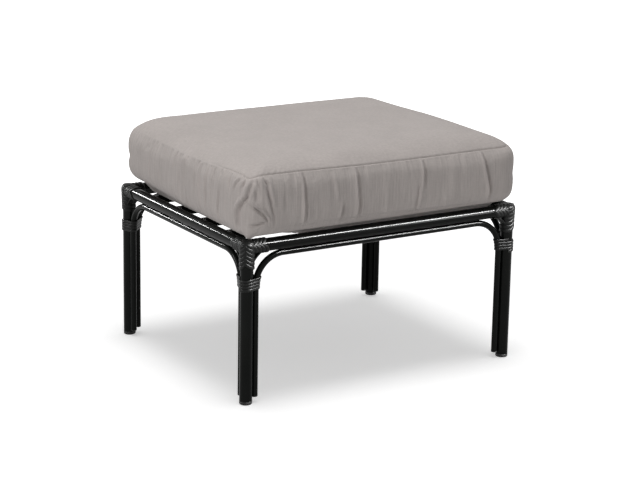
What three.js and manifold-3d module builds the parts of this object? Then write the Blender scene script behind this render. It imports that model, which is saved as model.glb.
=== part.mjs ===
// An outdoor ottoman: a tube frame with lashed corners, four seat slats and a lift-off box cushion.
// Millimetres, +Z up. The origin is on the floor under the middle, the long side lies along X,
// and the front is at -Y.
import * as THREE from "three";
import { mergeVertices } from "three/addons/utils/BufferGeometryUtils.js";
import Module from "manifold-3d";

const wasm = await Module();
wasm.setup();

// Tube frame
const LEG_SPACING_X = 611;
const LEG_SPACING_Y = 502;
const RAIL_AXIS_HEIGHT = 314;
const MAIN_TUBE_DIAMETER = 25.4;
const MAIN_TUBE_WALL = 1.6;
const THIN_TUBE_DIAMETER = 12.7;
const THIN_TUBE_WALL = 1.2;
const HOOP_BEND_RADIUS = 60;
const HOOP_END_HEIGHT = 12;
const TOUCH_GAP = 0.3;

// Seat slats
const SLAT_COUNT = 4;
const SLAT_WIDTH = 62;
const SLAT_THICKNESS = 3;
const SLAT_EDGE_RADIUS = 1.2;
const END_GAP_SHARE = 1.22;

// Leg glides and hoop plugs
const GLIDE_HEIGHT = 7;
const GLIDE_EDGE_RADIUS = 1.6;
const GLIDE_STEM_LENGTH = 18;
const PLUG_HEAD_HEIGHT = 2.2;
const PLUG_EDGE_RADIUS = 1;
const PLUG_STEM_LENGTH = 10;
const STEM_BARB_DEPTH = 0.8;

// Corner wraps, straps crossed over each leg and the two rails it carries
const WRAP_STRAP_WIDTH = 8;
const WRAP_THICKNESS = 2.2;
const WRAP_GROOVE_DEPTH = 0.9;
const WRAP_STRAP_LEAN = 9;
const STRAP_CREST_SHARE = 0.4;
const WRAP_LEG_LENGTH = 40;
const WRAP_RAIL_LENGTH = 38;
const WRAP_FLARE = 4.6;
const WRAP_TOP_ROUND = 6;
const WRAP_WEB_REACH = 13;
const WRAP_WEB_DROP = 12;
const WRAP_WEB_WIDTH = 15;

// Leg bindings, one flat strap wound round a leg and the two hoop tubes beside it
const BINDING_ABOVE_BEND = 9;
const BINDING_TURNS = 4;
const BINDING_STRAP_WIDTH = 6.3;
const BINDING_STRAP_THICKNESS = 1.8;
const BINDING_STRAP_GAP = 0.7;
const BINDING_CLEARANCE = 0.45;

// Cushion
const CUSHION_OVERHANG_X = 2.5;
const CUSHION_OVERHANG_Y = 7;
const CUSHION_CORNER_RADIUS = 32;
const CUSHION_BOXING_HEIGHT = 118.5;
const CUSHION_CROWN = 27;
const CUSHION_SWELL = 15;
const CUSHION_DRAW_IN = 4;
const CUSHION_CLOTH_THICKNESS = 1.4;
const ZIP_LENGTH = 420;
const ZIP_HEIGHT = 9;
const ZIP_SLIDER_LENGTH = 16;
const ZIP_SLIDER_RELIEF = 2;

// Facets
const MAIN_SIDES = 24;
const THIN_SIDES = 12;
const WRAP_SIDES = 16;
const BEND_STEPS = 5;
const LOOP_LEG_STEPS = 6;
const LOOP_TUBE_STEPS = 4;
const CUSHION_CORNER_STEPS = 4;
const CUSHION_SIDE_STEPS = 6;
const MERGE_DISTANCE = 0.0001;

// Worked out from the sizes above
const MAIN_RADIUS = MAIN_TUBE_DIAMETER / 2;
const MAIN_BORE = MAIN_RADIUS - MAIN_TUBE_WALL;
const THIN_RADIUS = THIN_TUBE_DIAMETER / 2;
const THIN_BORE = THIN_RADIUS - THIN_TUBE_WALL;
const COPE_REACH = 2 * MAIN_TUBE_DIAMETER;
const HOOP_OFFSET = MAIN_RADIUS + THIN_RADIUS + TOUCH_GAP;
const HOOP_AXIS_HEIGHT = RAIL_AXIS_HEIGHT - HOOP_OFFSET;
const HOOP_BEND_HEIGHT = HOOP_AXIS_HEIGHT - HOOP_BEND_RADIUS;
const BINDING_MIDDLE_HEIGHT = HOOP_BEND_HEIGHT + BINDING_ABOVE_BEND;
const RAIL_TOP = RAIL_AXIS_HEIGHT + MAIN_RADIUS;
const SLAT_LENGTH = LEG_SPACING_X - 2 * (MAIN_RADIUS + TOUCH_GAP);
const SLAT_TOP = RAIL_AXIS_HEIGHT + SLAT_THICKNESS / 2;
const SLAT_FREE_SPAN = LEG_SPACING_Y - MAIN_TUBE_DIAMETER - SLAT_COUNT * SLAT_WIDTH;
const SLAT_PITCH = SLAT_WIDTH + SLAT_FREE_SPAN / (SLAT_COUNT - 1 + 2 * END_GAP_SHARE);
const CUSHION_WIDTH = LEG_SPACING_X + 2 * CUSHION_OVERHANG_X;
const CUSHION_DEPTH = LEG_SPACING_Y + 2 * CUSHION_OVERHANG_Y;
const CUSHION_BASE_INSET = CUSHION_OVERHANG_Y + MAIN_RADIUS + TOUCH_GAP;
const CUSHION_BASE = RAIL_TOP + WRAP_THICKNESS + 2 * TOUCH_GAP;
const CUSHION_SEAM_HEIGHT = CUSHION_BASE + CUSHION_BOXING_HEIGHT;
const CUSHION_BASE_SAG = CUSHION_BASE - SLAT_TOP - TOUCH_GAP;

const POWDER_COAT = new THREE.MeshStandardMaterial({ color: 0x1c1e1c, roughness: 0.38, metalness: 0.35 });
const RESIN_STRAP = new THREE.MeshStandardMaterial({ color: 0x1a1b1a, roughness: 0.55, metalness: 0 });
const BLACK_PLASTIC = new THREE.MeshStandardMaterial({ color: 0x161616, roughness: 0.6, metalness: 0 });
const WOVEN_FABRIC = new THREE.MeshStandardMaterial({ color: 0xa39a93, roughness: 0.92, metalness: 0 });
const CUSHION_FOAM = new THREE.MeshStandardMaterial({ color: 0xe9e4d6, roughness: 0.95, metalness: 0 });

const ottoman = new THREE.Group();

function addPiece(name, geometry, material, place = [0, 0, 0], turn = 0) {
  const piece = new THREE.Mesh(geometry, material);
  piece.name = name;
  piece.position.set(...place);
  piece.rotation.z = turn;
  ottoman.add(piece);
}

// A closed geometry as a solid that can be cut and joined.
function solidFrom(geometry) {
  const bare = new THREE.BufferGeometry();
  bare.setAttribute("position", geometry.getAttribute("position"));
  if (geometry.index) bare.setIndex(geometry.index);
  const merged = mergeVertices(bare, MERGE_DISTANCE);
  return new wasm.Manifold(
    new wasm.Mesh({
      numProp: 3,
      vertProperties: new Float32Array(merged.getAttribute("position").array),
      triVerts: new Uint32Array(merged.index.array),
    }),
  );
}

function geometryFrom(solid) {
  const mesh = solid.getMesh();
  const geometry = new THREE.BufferGeometry();
  geometry.setAttribute("position", new THREE.BufferAttribute(mesh.vertProperties, 3));
  geometry.setIndex(new THREE.BufferAttribute(mesh.triVerts, 1));
  geometry.computeVertexNormals();
  return geometry;
}

// A profile of [radius, height] points turned round the Z axis.
function turned(profile, sides) {
  const points = profile.map(([radius, height]) => new THREE.Vector2(radius, height));
  return new THREE.LatheGeometry(points, sides).rotateX(Math.PI / 2);
}

function rod(radius, low, high, sides) {
  return turned([[0, low], [radius, low], [radius, high], [0, high]], sides);
}

function pipe(radius, bore, low, high, sides) {
  return turned([[bore, low], [radius, low], [radius, high], [bore, high], [bore, low]], sides);
}

// An upright geometry laid along X or Y, with the vertex that was at +X now lowest or highest.
const laidAlongX = (geometry) => geometry.rotateY(Math.PI / 2);
const laidAlongY = (geometry) => geometry.rotateX(-Math.PI / 2);

// The four corners in turn order, so one corner part turned by a right angle fits the next.
const CORNERS = [
  { name: "front_left", x: -LEG_SPACING_X / 2, y: -LEG_SPACING_Y / 2, turn: 0 },
  { name: "front_right", x: LEG_SPACING_X / 2, y: -LEG_SPACING_Y / 2, turn: Math.PI / 2 },
  { name: "back_right", x: LEG_SPACING_X / 2, y: LEG_SPACING_Y / 2, turn: Math.PI },
  { name: "back_left", x: -LEG_SPACING_X / 2, y: LEG_SPACING_Y / 2, turn: -Math.PI / 2 },
];

// Leg: an upright tube, closed at the top by its welded cap and open below for the glide.
function legGeometry() {
  const low = GLIDE_HEIGHT + TOUCH_GAP;
  const cap = RAIL_TOP - MAIN_TUBE_WALL;
  return turned(
    [
      [0, cap],
      [MAIN_BORE, cap],
      [MAIN_BORE, low],
      [MAIN_RADIUS, low],
      [MAIN_RADIUS, cap],
      [MAIN_BORE, RAIL_TOP],
      [0, RAIL_TOP],
    ],
    MAIN_SIDES,
  );
}

// Rail: a tube between two legs with its ends coped to them. A side rail is coped to the long rails too.
function railGeometry(length, lay, crossing) {
  const reach = length / 2;
  const clearRadius = MAIN_RADIUS + TOUCH_GAP;
  let rail = solidFrom(lay(pipe(MAIN_RADIUS, MAIN_BORE, -reach, reach, MAIN_SIDES)));
  for (const end of [-reach, reach]) {
    const legCut = rod(clearRadius, -COPE_REACH, COPE_REACH, MAIN_SIDES);
    const at = lay === laidAlongX ? [end, 0, 0] : [0, end, 0];
    rail = rail.subtract(solidFrom(legCut.translate(...at)));
    if (crossing) {
      const railCut = laidAlongX(rod(clearRadius, -COPE_REACH, COPE_REACH, MAIN_SIDES));
      rail = rail.subtract(solidFrom(railCut.translate(...at)));
    }
  }
  return geometryFrom(rail);
}

// The bent path of a hoop in its own upright plane: up, round a bend, across, round a bend and down.
// A straight run is one step and a bend has BEND_STEPS, so each step has its own share of the curve.
class HoopPath extends THREE.Curve {
  constructor(legSpacing) {
    super();
    const side = legSpacing / 2 - HOOP_OFFSET;
    const centre = side - HOOP_BEND_RADIUS;
    const low = HOOP_END_HEIGHT + PLUG_HEAD_HEIGHT + TOUCH_GAP;
    this.stations = [{ x: -side, z: low, angle: Math.PI / 2 }];
    for (const [middle, start] of [[-centre, Math.PI], [centre, Math.PI / 2]]) {
      for (let step = 0; step <= BEND_STEPS; step++) {
        const around = start - (step / BEND_STEPS) * (Math.PI / 2);
        this.stations.push({
          x: middle + HOOP_BEND_RADIUS * Math.cos(around),
          z: HOOP_BEND_HEIGHT + HOOP_BEND_RADIUS * Math.sin(around),
          angle: around - Math.PI / 2,
        });
      }
    }
    this.stations.push({ x: side, z: low, angle: -Math.PI / 2 });
    this.steps = this.stations.length - 1;
  }

  stationAt(t) {
    return this.stations[Math.round(t * this.steps)];
  }

  getPoint(t, target = new THREE.Vector3()) {
    const { x, z } = this.stationAt(t);
    return target.set(x, 0, z);
  }

  getPointAt(u, target) {
    return this.getPoint(u, target);
  }

  getTangent(t, target = new THREE.Vector3()) {
    const { angle } = this.stationAt(t);
    return target.set(Math.cos(angle), 0, Math.sin(angle));
  }

  getTangentAt(u, target) {
    return this.getTangent(u, target);
  }
}

// Hoop: a thin tube bent into an upside-down U that stands under a rail and beside its two legs.
function hoopGeometry(legSpacing) {
  const path = new HoopPath(legSpacing);
  const section = new THREE.Shape().absarc(0, 0, THIN_RADIUS, 0, 2 * Math.PI, false);
  section.holes.push(new THREE.Path().absarc(0, 0, THIN_BORE, 0, 2 * Math.PI, true));
  return new THREE.ExtrudeGeometry(section, {
    steps: path.steps,
    curveSegments: THIN_SIDES / 2,
    bevelEnabled: false,
    extrudePath: path,
  });
}

// Slat: a flat bar with rounded edges, between the side rails at the height of their axes.
function slatGeometry() {
  const side = SLAT_WIDTH / 2;
  const half = SLAT_THICKNESS / 2;
  const flat = side - SLAT_EDGE_RADIUS;
  const face = half - SLAT_EDGE_RADIUS;
  const section = new THREE.Shape();
  section.absarc(flat, face, SLAT_EDGE_RADIUS, 0, Math.PI / 2, false);
  section.absarc(-flat, face, SLAT_EDGE_RADIUS, Math.PI / 2, Math.PI, false);
  section.absarc(-flat, -face, SLAT_EDGE_RADIUS, Math.PI, 1.5 * Math.PI, false);
  section.absarc(flat, -face, SLAT_EDGE_RADIUS, 1.5 * Math.PI, 2 * Math.PI, false);
  section.closePath();
  const bar = new THREE.ExtrudeGeometry(section, {
    depth: SLAT_LENGTH,
    curveSegments: 3,
    bevelEnabled: false,
  });
  return bar.translate(0, 0, -SLAT_LENGTH / 2).rotateX(Math.PI / 2).rotateZ(Math.PI / 2);
}

// A glide or plug: a head as wide as its tube with a rounded lower edge, and above it a stem with
// barbs that taper upwards, so it pushes into the tube's bore and stays.
function footGeometry(foot) {
  const { radius, bore, headHeight, edgeRadius, edgeSteps, stemLength, barbs, sides } = foot;
  const profile = [[0, 0]];
  for (let step = 0; step <= edgeSteps; step++) {
    const around = (step / edgeSteps) * (Math.PI / 2);
    profile.push([
      radius - edgeRadius * (1 - Math.sin(around)),
      edgeRadius * (1 - Math.cos(around)),
    ]);
  }
  profile.push([radius, headHeight]);
  const barbRadius = bore - TOUCH_GAP;
  const pitch = stemLength / barbs;
  for (let barb = 0; barb < barbs; barb++) {
    profile.push([barbRadius, headHeight + barb * pitch]);
    profile.push([barbRadius - STEM_BARB_DEPTH, headHeight + (barb + 1) * pitch]);
  }
  profile.push([0, headHeight + stemLength]);
  return turned(profile, sides);
}

// One arm of a corner wrap, upright with its free end at zero: strap turns side by side, each with a
// groove to the next. The straps lean from turn to turn, so that they meet in a V along the arm's
// outer side, where outward points, and along its inner side. thicknessAt and leanAt give the
// wrap's thickness and its share of the full lean at a share of the arm's length.
function strapArm(length, outward, thicknessAt, leanAt, capRadius) {
  const turns = Math.round(length / WRAP_STRAP_WIDTH);
  const width = length / turns;
  const profile = [[0, 0]];
  for (let strap = 0; strap < turns; strap++) {
    const crest = MAIN_RADIUS + TOUCH_GAP + thicknessAt((strap + STRAP_CREST_SHARE) / turns);
    profile.push([crest - WRAP_GROOVE_DEPTH, strap * width]);
    profile.push([crest, (strap + STRAP_CREST_SHARE) * width]);
  }
  profile.push([capRadius, length], [0, length]);
  const arm = turned(profile, WRAP_SIDES);
  const positions = arm.getAttribute("position");
  for (let at = 0; at < positions.count; at++) {
    const radius = Math.hypot(positions.getX(at), positions.getY(at));
    if (radius > 0) {
      const facing = (positions.getX(at) * outward.x + positions.getY(at) * outward.y) / radius;
      const turn = Math.asin(Math.min(1, Math.abs(facing))) / (Math.PI / 2);
      const height = positions.getZ(at);
      positions.setZ(at, height + WRAP_STRAP_LEAN * leanAt(height / length) * turn);
    }
  }
  return solidFrom(arm);
}

// Corner wrap, modelled for the corner whose rails leave along +X and +Y, with its origin on the
// leg's axis at the rails' height: three strap arms and two webs, hollowed for the tubes inside.
function cornerWrapGeometry() {
  const boreRadius = MAIN_RADIUS + TOUCH_GAP;
  const top = boreRadius + WRAP_THICKNESS;
  const legLength = WRAP_LEG_LENGTH + top;
  const flare = (share) => WRAP_THICKNESS + WRAP_FLARE * share * share;
  const evenly = () => WRAP_THICKNESS;
  const swing = (share) => Math.sin(Math.PI * share) ** 2;
  const diagonal = new THREE.Vector2(-1, -1).normalize();
  const knobRadius = top + WRAP_FLARE - WRAP_TOP_ROUND;
  let wrap = strapArm(legLength, diagonal, flare, swing, knobRadius).translate([0, 0, top - legLength]);
  const sideways = new THREE.Vector2(0, 1);
  const alongX = strapArm(WRAP_RAIL_LENGTH, sideways, evenly, swing, top)
    .rotate([0, -90, 0])
    .translate([WRAP_RAIL_LENGTH, 0, 0]);
  const webAlongX = solidFrom(webGeometry());
  wrap = wrap.add(alongX).add(alongX.mirror([1, -1, 0]));
  wrap = wrap.add(webAlongX).add(webAlongX.rotate([0, 0, 90]));
  const reach = 2 * WRAP_RAIL_LENGTH;
  const legBore = rod(boreRadius, -2 * legLength, boreRadius, MAIN_SIDES);
  const railBore = () => rod(boreRadius, 0, reach, MAIN_SIDES);
  wrap = wrap.subtract(solidFrom(legBore));
  wrap = wrap.subtract(solidFrom(laidAlongX(railBore())));
  wrap = wrap.subtract(solidFrom(laidAlongY(railBore())));
  return geometryFrom(wrap);
}

// The web that crossed straps make in the angle under a rail, beside its leg.
function webGeometry() {
  const skin = MAIN_RADIUS + WRAP_THICKNESS;
  const web = new THREE.Shape([
    new THREE.Vector2(0, 0),
    new THREE.Vector2(0, -skin - WRAP_WEB_DROP),
    new THREE.Vector2(skin, -skin - WRAP_WEB_DROP),
    new THREE.Vector2(skin + WRAP_WEB_REACH, -skin),
    new THREE.Vector2(skin + WRAP_WEB_REACH, 0),
  ]);
  const plate = new THREE.ExtrudeGeometry(web, { depth: WRAP_WEB_WIDTH, bevelEnabled: false });
  return plate.translate(0, 0, -WRAP_WEB_WIDTH / 2).rotateX(Math.PI / 2);
}

// One side of a hoop, from its lower end to the end of its bend.
const HOOP_SIDE = new HoopPath(LEG_SPACING_X).stations.slice(0, BEND_STEPS + 2);

// Where a line that follows the hoop's side, a distance out from its axis, crosses a level.
function hoopLineAt(height, out) {
  const line = HOOP_SIDE.map(({ x, z, angle }) => ({
    x: x - out * Math.sin(angle),
    z: z + out * Math.cos(angle),
  }));
  const upper = line.findIndex(({ z }) => z > height);
  const from = line[upper - 1];
  const to = line[upper];
  return from.x + ((height - from.z) / (to.z - from.z)) * (to.x - from.x);
}

// Where a hoop's tube crosses a level beside its leg: the distance between their axes, and the half
// width of the tube there, which grows as the tube leans away along its bend.
function hoopCrossing(height) {
  const outer = hoopLineAt(height, THIN_RADIUS);
  const inner = hoopLineAt(height, -THIN_RADIUS);
  return {
    offset: LEG_SPACING_X / 2 + (inner + outer) / 2,
    radius: (inner - outer) / 2,
  };
}

// One point of the taut line round the leg and its two hoop tubes: the outward direction and the
// tube that carries it. The turn is shared out over three arcs and the straight spans between them.
function bindingStations(height) {
  const { offset, radius } = hoopCrossing(height);
  const lean = Math.asin((MAIN_RADIUS - radius) / offset);
  const fromLeg = -Math.PI / 2 + lean;
  const toLeg = Math.PI - lean;
  const arcs = [
    { x: 0, y: 0, radius: MAIN_RADIUS, start: toLeg, end: 2 * Math.PI + fromLeg, steps: LOOP_LEG_STEPS },
    { x: offset, y: 0, radius, start: fromLeg, end: Math.PI / 4, steps: LOOP_TUBE_STEPS },
    { x: 0, y: offset, radius, start: Math.PI / 4, end: toLeg, steps: LOOP_TUBE_STEPS },
  ];
  const stations = [];
  const seat = BINDING_CLEARANCE + BINDING_STRAP_THICKNESS / 2;
  for (const arc of arcs) {
    for (let step = 0; step <= arc.steps; step++) {
      const around = arc.start + ((arc.end - arc.start) * step) / arc.steps;
      const outward = new THREE.Vector2(Math.cos(around), Math.sin(around));
      stations.push({
        outward,
        x: arc.x + (arc.radius + seat) * outward.x,
        y: arc.y + (arc.radius + seat) * outward.y,
      });
    }
  }
  return stations;
}

// Binding: a flat strap of six sides wound round leg and hoops in an unbroken helix. It prints the
// least gap between neighbouring turns, taken between the points of one turn and of the next.
function bindingGeometry() {
  const pitch = BINDING_STRAP_WIDTH + BINDING_STRAP_GAP;
  const bottom = BINDING_MIDDLE_HEIGHT - (BINDING_TURNS * pitch) / 2;
  const loopSteps = bindingStations(BINDING_MIDDLE_HEIGHT).length;
  const halfWidth = BINDING_STRAP_WIDTH / 2;
  const halfThickness = BINDING_STRAP_THICKNESS / 2;
  const sectionShares = [[1, 0], [0.72, 1], [-0.72, 1], [-1, 0], [-0.72, -1], [0.72, -1]];
  const sides = sectionShares.length;
  const rings = [];
  for (let step = 0; step <= BINDING_TURNS * loopSteps; step++) {
    const middle = bottom + (step / loopSteps) * pitch;
    rings.push(
      sectionShares.map(([widthShare, thicknessShare]) => {
        const height = middle + widthShare * halfWidth;
        const { x, y, outward } = bindingStations(height)[step % loopSteps];
        const out = thicknessShare * halfThickness;
        return new THREE.Vector3(x + out * outward.x, y + out * outward.y, height);
      }),
    );
  }
  const indices = [];
  for (let ring = 0; ring + 1 < rings.length; ring++) {
    for (let side = 0; side < sides; side++) {
      const next = (side + 1) % sides;
      const a = ring * sides + side;
      const b = ring * sides + next;
      indices.push(a, b, a + sides, b, b + sides, a + sides);
    }
  }
  const last = (rings.length - 1) * sides;
  for (let side = 1; side + 1 < sides; side++) {
    indices.push(0, side + 1, side, last, last + side, last + side + 1);
  }
  let leastGap = Infinity;
  for (let ring = 0; ring + loopSteps < rings.length; ring++) {
    const above = rings[ring + loopSteps];
    for (const point of rings[ring]) {
      for (const other of above) leastGap = Math.min(leastGap, point.distanceTo(other));
    }
  }
  console.log("least gap between turns of a leg binding: " + leastGap.toFixed(2) + " mm");
  const geometry = new THREE.BufferGeometry().setFromPoints(rings.flat());
  geometry.setIndex(indices);
  geometry.computeVertexNormals();
  return geometry;
}

// The cushion's plan outline: its corner arcs and sides as points, each with its outward direction
// and with bow, which is 0 at the corners and 1 at the middle of a side.
function cushionOutline() {
  const points = [];
  const flatX = CUSHION_WIDTH / 2 - CUSHION_CORNER_RADIUS;
  const flatY = CUSHION_DEPTH / 2 - CUSHION_CORNER_RADIUS;
  const centres = [[flatX, flatY], [-flatX, flatY], [-flatX, -flatY], [flatX, -flatY]];
  centres.forEach(([x, y], quarter) => {
    const start = quarter * (Math.PI / 2);
    for (let step = 0; step <= CUSHION_CORNER_STEPS; step++) {
      const around = start + (step / CUSHION_CORNER_STEPS) * (Math.PI / 2);
      const nx = Math.cos(around);
      const ny = Math.sin(around);
      points.push({ x: x + CUSHION_CORNER_RADIUS * nx, y: y + CUSHION_CORNER_RADIUS * ny, nx, ny, bow: 0 });
    }
    const [nextX, nextY] = centres[(quarter + 1) % centres.length];
    const from = points[points.length - 1];
    const to = {
      x: nextX + CUSHION_CORNER_RADIUS * from.nx,
      y: nextY + CUSHION_CORNER_RADIUS * from.ny,
    };
    for (let step = 1; step < CUSHION_SIDE_STEPS; step++) {
      const share = step / CUSHION_SIDE_STEPS;
      points.push({
        x: from.x + (to.x - from.x) * share,
        y: from.y + (to.y - from.y) * share,
        nx: from.nx,
        ny: from.ny,
        bow: Math.sin(Math.PI * share),
      });
    }
  });
  return points;
}

const OUTLINE = cushionOutline();

// Powers that shape the curves of the sides, the crown and the sag: the higher the fullness of the
// last two, the flatter they are in the middle and the steeper at the edge.
const SWELL_LOWERING = 0.76;
const SWELL_FULLNESS = 0.8;
const CROWN_FULLNESS = 7;
const SAG_FULLNESS = 4;

// The boxing's ring at a share of its height, moved in by inset. The base is set in from the top
// seam, the sides swell between the seams, and the seams draw in between the corners.
function boxingRing(share, inset) {
  const swell = CUSHION_SWELL * Math.sin(Math.PI * share ** SWELL_LOWERING) ** SWELL_FULLNESS;
  const base = CUSHION_BASE_INSET * (1 - share) ** 2;
  return OUTLINE.map(({ x, y, nx, ny, bow }) => {
    const out = swell - base - CUSHION_DRAW_IN * bow - inset;
    return [x + nx * out, y + ny * out];
  });
}

// Rings of [x, y, z] points joined into one closed skin, with its first and last ring closed by
// their middles, or joined to each other where the skin is a band.
function lofted(rings, isBand) {
  const count = OUTLINE.length;
  const positions = rings.flat();
  const indices = [];
  const lastRing = rings.length - 1;
  const join = (low, high) => {
    for (let at = 0; at < count; at++) {
      const next = (at + 1) % count;
      const a = low * count + at;
      const b = low * count + next;
      const c = high * count + at;
      const d = high * count + next;
      indices.push(a, b, c, b, d, c);
    }
  };
  for (let ring = 0; ring < lastRing; ring++) join(ring, ring + 1);
  if (isBand) {
    join(lastRing, 0);
  } else {
    for (const [ring, inwards] of [[0, true], [lastRing, false]]) {
      const middle = positions.length;
      positions.push([0, 0, rings[ring][0][3]]);
      for (let at = 0; at < count; at++) {
        const a = ring * count + at;
        const b = ring * count + ((at + 1) % count);
        indices.push(...(inwards ? [b, a, middle] : [a, b, middle]));
      }
    }
  }
  const geometry = new THREE.BufferGeometry();
  const flat = positions.flatMap(([x, y, z]) => [x, y, z]);
  geometry.setAttribute("position", new THREE.Float32BufferAttribute(flat, 3));
  geometry.setIndex(indices);
  geometry.computeVertexNormals();
  return geometry;
}

// A panel's ring at a share of the way out from its middle, at a height from heightAt.
// The fourth value is the height of the panel's middle, which closes it.
function panelRing(edge, share, heightAt) {
  return edge.map(([x, y]) => [x * share, y * share, heightAt(share), heightAt(0)]);
}

const CROWN_SHARES = [0.4, 0.74, 0.9, 0.97, 1];
const BASE_SHARES = [0.5, 0.88, 1];
const BOXING_SHARES = [0, 0.1, 0.3, 0.62, 0.88, 1];
const FOAM_SIDE_SHARES = [0.1, 0.62];
const crownHeight = (share) => CUSHION_SEAM_HEIGHT + CUSHION_CROWN * (1 - share ** CROWN_FULLNESS);
const baseHeight = (share) => CUSHION_BASE - CUSHION_BASE_SAG * (1 - share ** SAG_FULLNESS);

// Top panel: cloth with the cushion's crown, from its middle out to the top seam.
function topPanelGeometry() {
  const edge = boxingRing(1, 0);
  const inside = (share) => crownHeight(share) - CUSHION_CLOTH_THICKNESS;
  const under = CROWN_SHARES.map((share) => panelRing(edge, share, inside));
  const over = CROWN_SHARES.toReversed().map((share) => panelRing(edge, share, crownHeight));
  return lofted([...under, ...over], false);
}

// Bottom panel: cloth from its seam in to the middle, where it sags onto the slats.
function bottomPanelGeometry() {
  const edge = boxingRing(0, 0);
  const inside = (share) => baseHeight(share) + CUSHION_CLOTH_THICKNESS;
  const under = BASE_SHARES.map((share) => panelRing(edge, share, baseHeight));
  const over = BASE_SHARES.toReversed().map((share) => panelRing(edge, share, inside));
  return lofted([...under, ...over], false);
}

// Boxing: the band of cloth round the sides, between the two panels.
function boxingSolid() {
  const low = CUSHION_BASE + CUSHION_CLOTH_THICKNESS + TOUCH_GAP;
  const high = CUSHION_SEAM_HEIGHT - CUSHION_CLOTH_THICKNESS - TOUCH_GAP;
  const ringAt = (share, inset) =>
    boxingRing(share, inset).map(([x, y]) => [x, y, low + (high - low) * share]);
  const outer = BOXING_SHARES.map((share) => ringAt(share, 0));
  const inner = BOXING_SHARES.toReversed().map((share) => ringAt(share, CUSHION_CLOTH_THICKNESS));
  return solidFrom(lofted([...outer, ...inner], true));
}

// The space of the zip in the back of the boxing, grown by a margin on each side.
function zipBox(margin) {
  const depth = 2 * (CUSHION_SWELL + CUSHION_BASE_INSET);
  const box = new THREE.BoxGeometry(ZIP_LENGTH + 2 * margin, depth, ZIP_HEIGHT + 2 * margin);
  return solidFrom(box.translate(0, CUSHION_DEPTH / 2, CUSHION_BASE + CUSHION_BOXING_HEIGHT / 2));
}

// Zip: the closed tape in its opening, with the parked slider standing a little proud at one end.
function zipGeometry(boxing) {
  const tape = boxing.intersect(zipBox(0));
  const surface = tape.boundingBox().max[1];
  const slider = new THREE.BoxGeometry(ZIP_SLIDER_LENGTH, 2 * ZIP_SLIDER_RELIEF, ZIP_HEIGHT);
  slider.translate(
    (ZIP_LENGTH - ZIP_SLIDER_LENGTH) / 2,
    surface,
    CUSHION_BASE + CUSHION_BOXING_HEIGHT / 2,
  );
  return geometryFrom(tape.add(solidFrom(slider)));
}

// Foam core: the same form inside the cloth, all round.
function foamGeometry() {
  const inset = CUSHION_CLOTH_THICKNESS + 2 * TOUCH_GAP;
  const floor = (share) => baseHeight(share) + CUSHION_CLOTH_THICKNESS + TOUCH_GAP;
  const roof = (share) => crownHeight(share) - CUSHION_CLOTH_THICKNESS - TOUCH_GAP;
  const low = floor(1);
  const high = roof(1);
  const base = boxingRing(0, inset);
  const seam = boxingRing(1, inset);
  const rings = BASE_SHARES.map((share) => panelRing(base, share, floor));
  for (const share of FOAM_SIDE_SHARES) {
    rings.push(boxingRing(share, inset).map(([x, y]) => [x, y, low + (high - low) * share]));
  }
  rings.push(...CROWN_SHARES.toReversed().map((share) => panelRing(seam, share, roof)));
  return lofted(rings, false);
}

// Frame
for (const corner of CORNERS) {
  addPiece("leg_" + corner.name, legGeometry(), POWDER_COAT, [corner.x, corner.y, 0]);
  const glide = footGeometry({
    radius: MAIN_RADIUS,
    bore: MAIN_BORE,
    headHeight: GLIDE_HEIGHT,
    edgeRadius: GLIDE_EDGE_RADIUS,
    edgeSteps: 2,
    stemLength: GLIDE_STEM_LENGTH,
    barbs: 2,
    sides: MAIN_SIDES,
  });
  addPiece("leg_glide_" + corner.name, glide, BLACK_PLASTIC, [corner.x, corner.y, 0]);
}
const FRONT = -LEG_SPACING_Y / 2;
const RIGHT = LEG_SPACING_X / 2;
for (const [name, y] of [["front", FRONT], ["back", -FRONT]]) {
  const rail = railGeometry(LEG_SPACING_X, laidAlongX, false);
  addPiece("rail_" + name, rail, POWDER_COAT, [0, y, RAIL_AXIS_HEIGHT]);
  addPiece("hoop_" + name, hoopGeometry(LEG_SPACING_X), POWDER_COAT, [0, y, 0]);
}
for (const [name, x] of [["left", -RIGHT], ["right", RIGHT]]) {
  const rail = railGeometry(LEG_SPACING_Y, laidAlongY, true);
  addPiece("rail_" + name, rail, POWDER_COAT, [x, 0, RAIL_AXIS_HEIGHT]);
  addPiece("hoop_" + name, hoopGeometry(LEG_SPACING_Y), POWDER_COAT, [x, 0, 0], Math.PI / 2);
}
for (let slat = 0; slat < SLAT_COUNT; slat++) {
  const y = (slat - (SLAT_COUNT - 1) / 2) * SLAT_PITCH;
  addPiece("slat_" + (slat + 1), slatGeometry(), POWDER_COAT, [0, y, RAIL_AXIS_HEIGHT]);
}

// Lashings and the plugs in the hoops' lower ends
for (const corner of CORNERS) {
  addPiece(
    "corner_wrap_" + corner.name,
    cornerWrapGeometry(),
    RESIN_STRAP,
    [corner.x, corner.y, RAIL_AXIS_HEIGHT],
    corner.turn,
  );
  addPiece("leg_binding_" + corner.name, bindingGeometry(), RESIN_STRAP, [corner.x, corner.y, 0], corner.turn);
  const towardsX = [corner.x - Math.sign(corner.x) * HOOP_OFFSET, corner.y, HOOP_END_HEIGHT];
  const towardsY = [corner.x, corner.y - Math.sign(corner.y) * HOOP_OFFSET, HOOP_END_HEIGHT];
  for (const [way, place] of [["long", towardsX], ["side", towardsY]]) {
    const plug = footGeometry({
      radius: THIN_RADIUS,
      bore: THIN_BORE,
      headHeight: PLUG_HEAD_HEIGHT,
      edgeRadius: PLUG_EDGE_RADIUS,
      edgeSteps: 1,
      stemLength: PLUG_STEM_LENGTH,
      barbs: 1,
      sides: THIN_SIDES,
    });
    addPiece("hoop_plug_" + corner.name + "_" + way, plug, BLACK_PLASTIC, place);
  }
}

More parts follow.
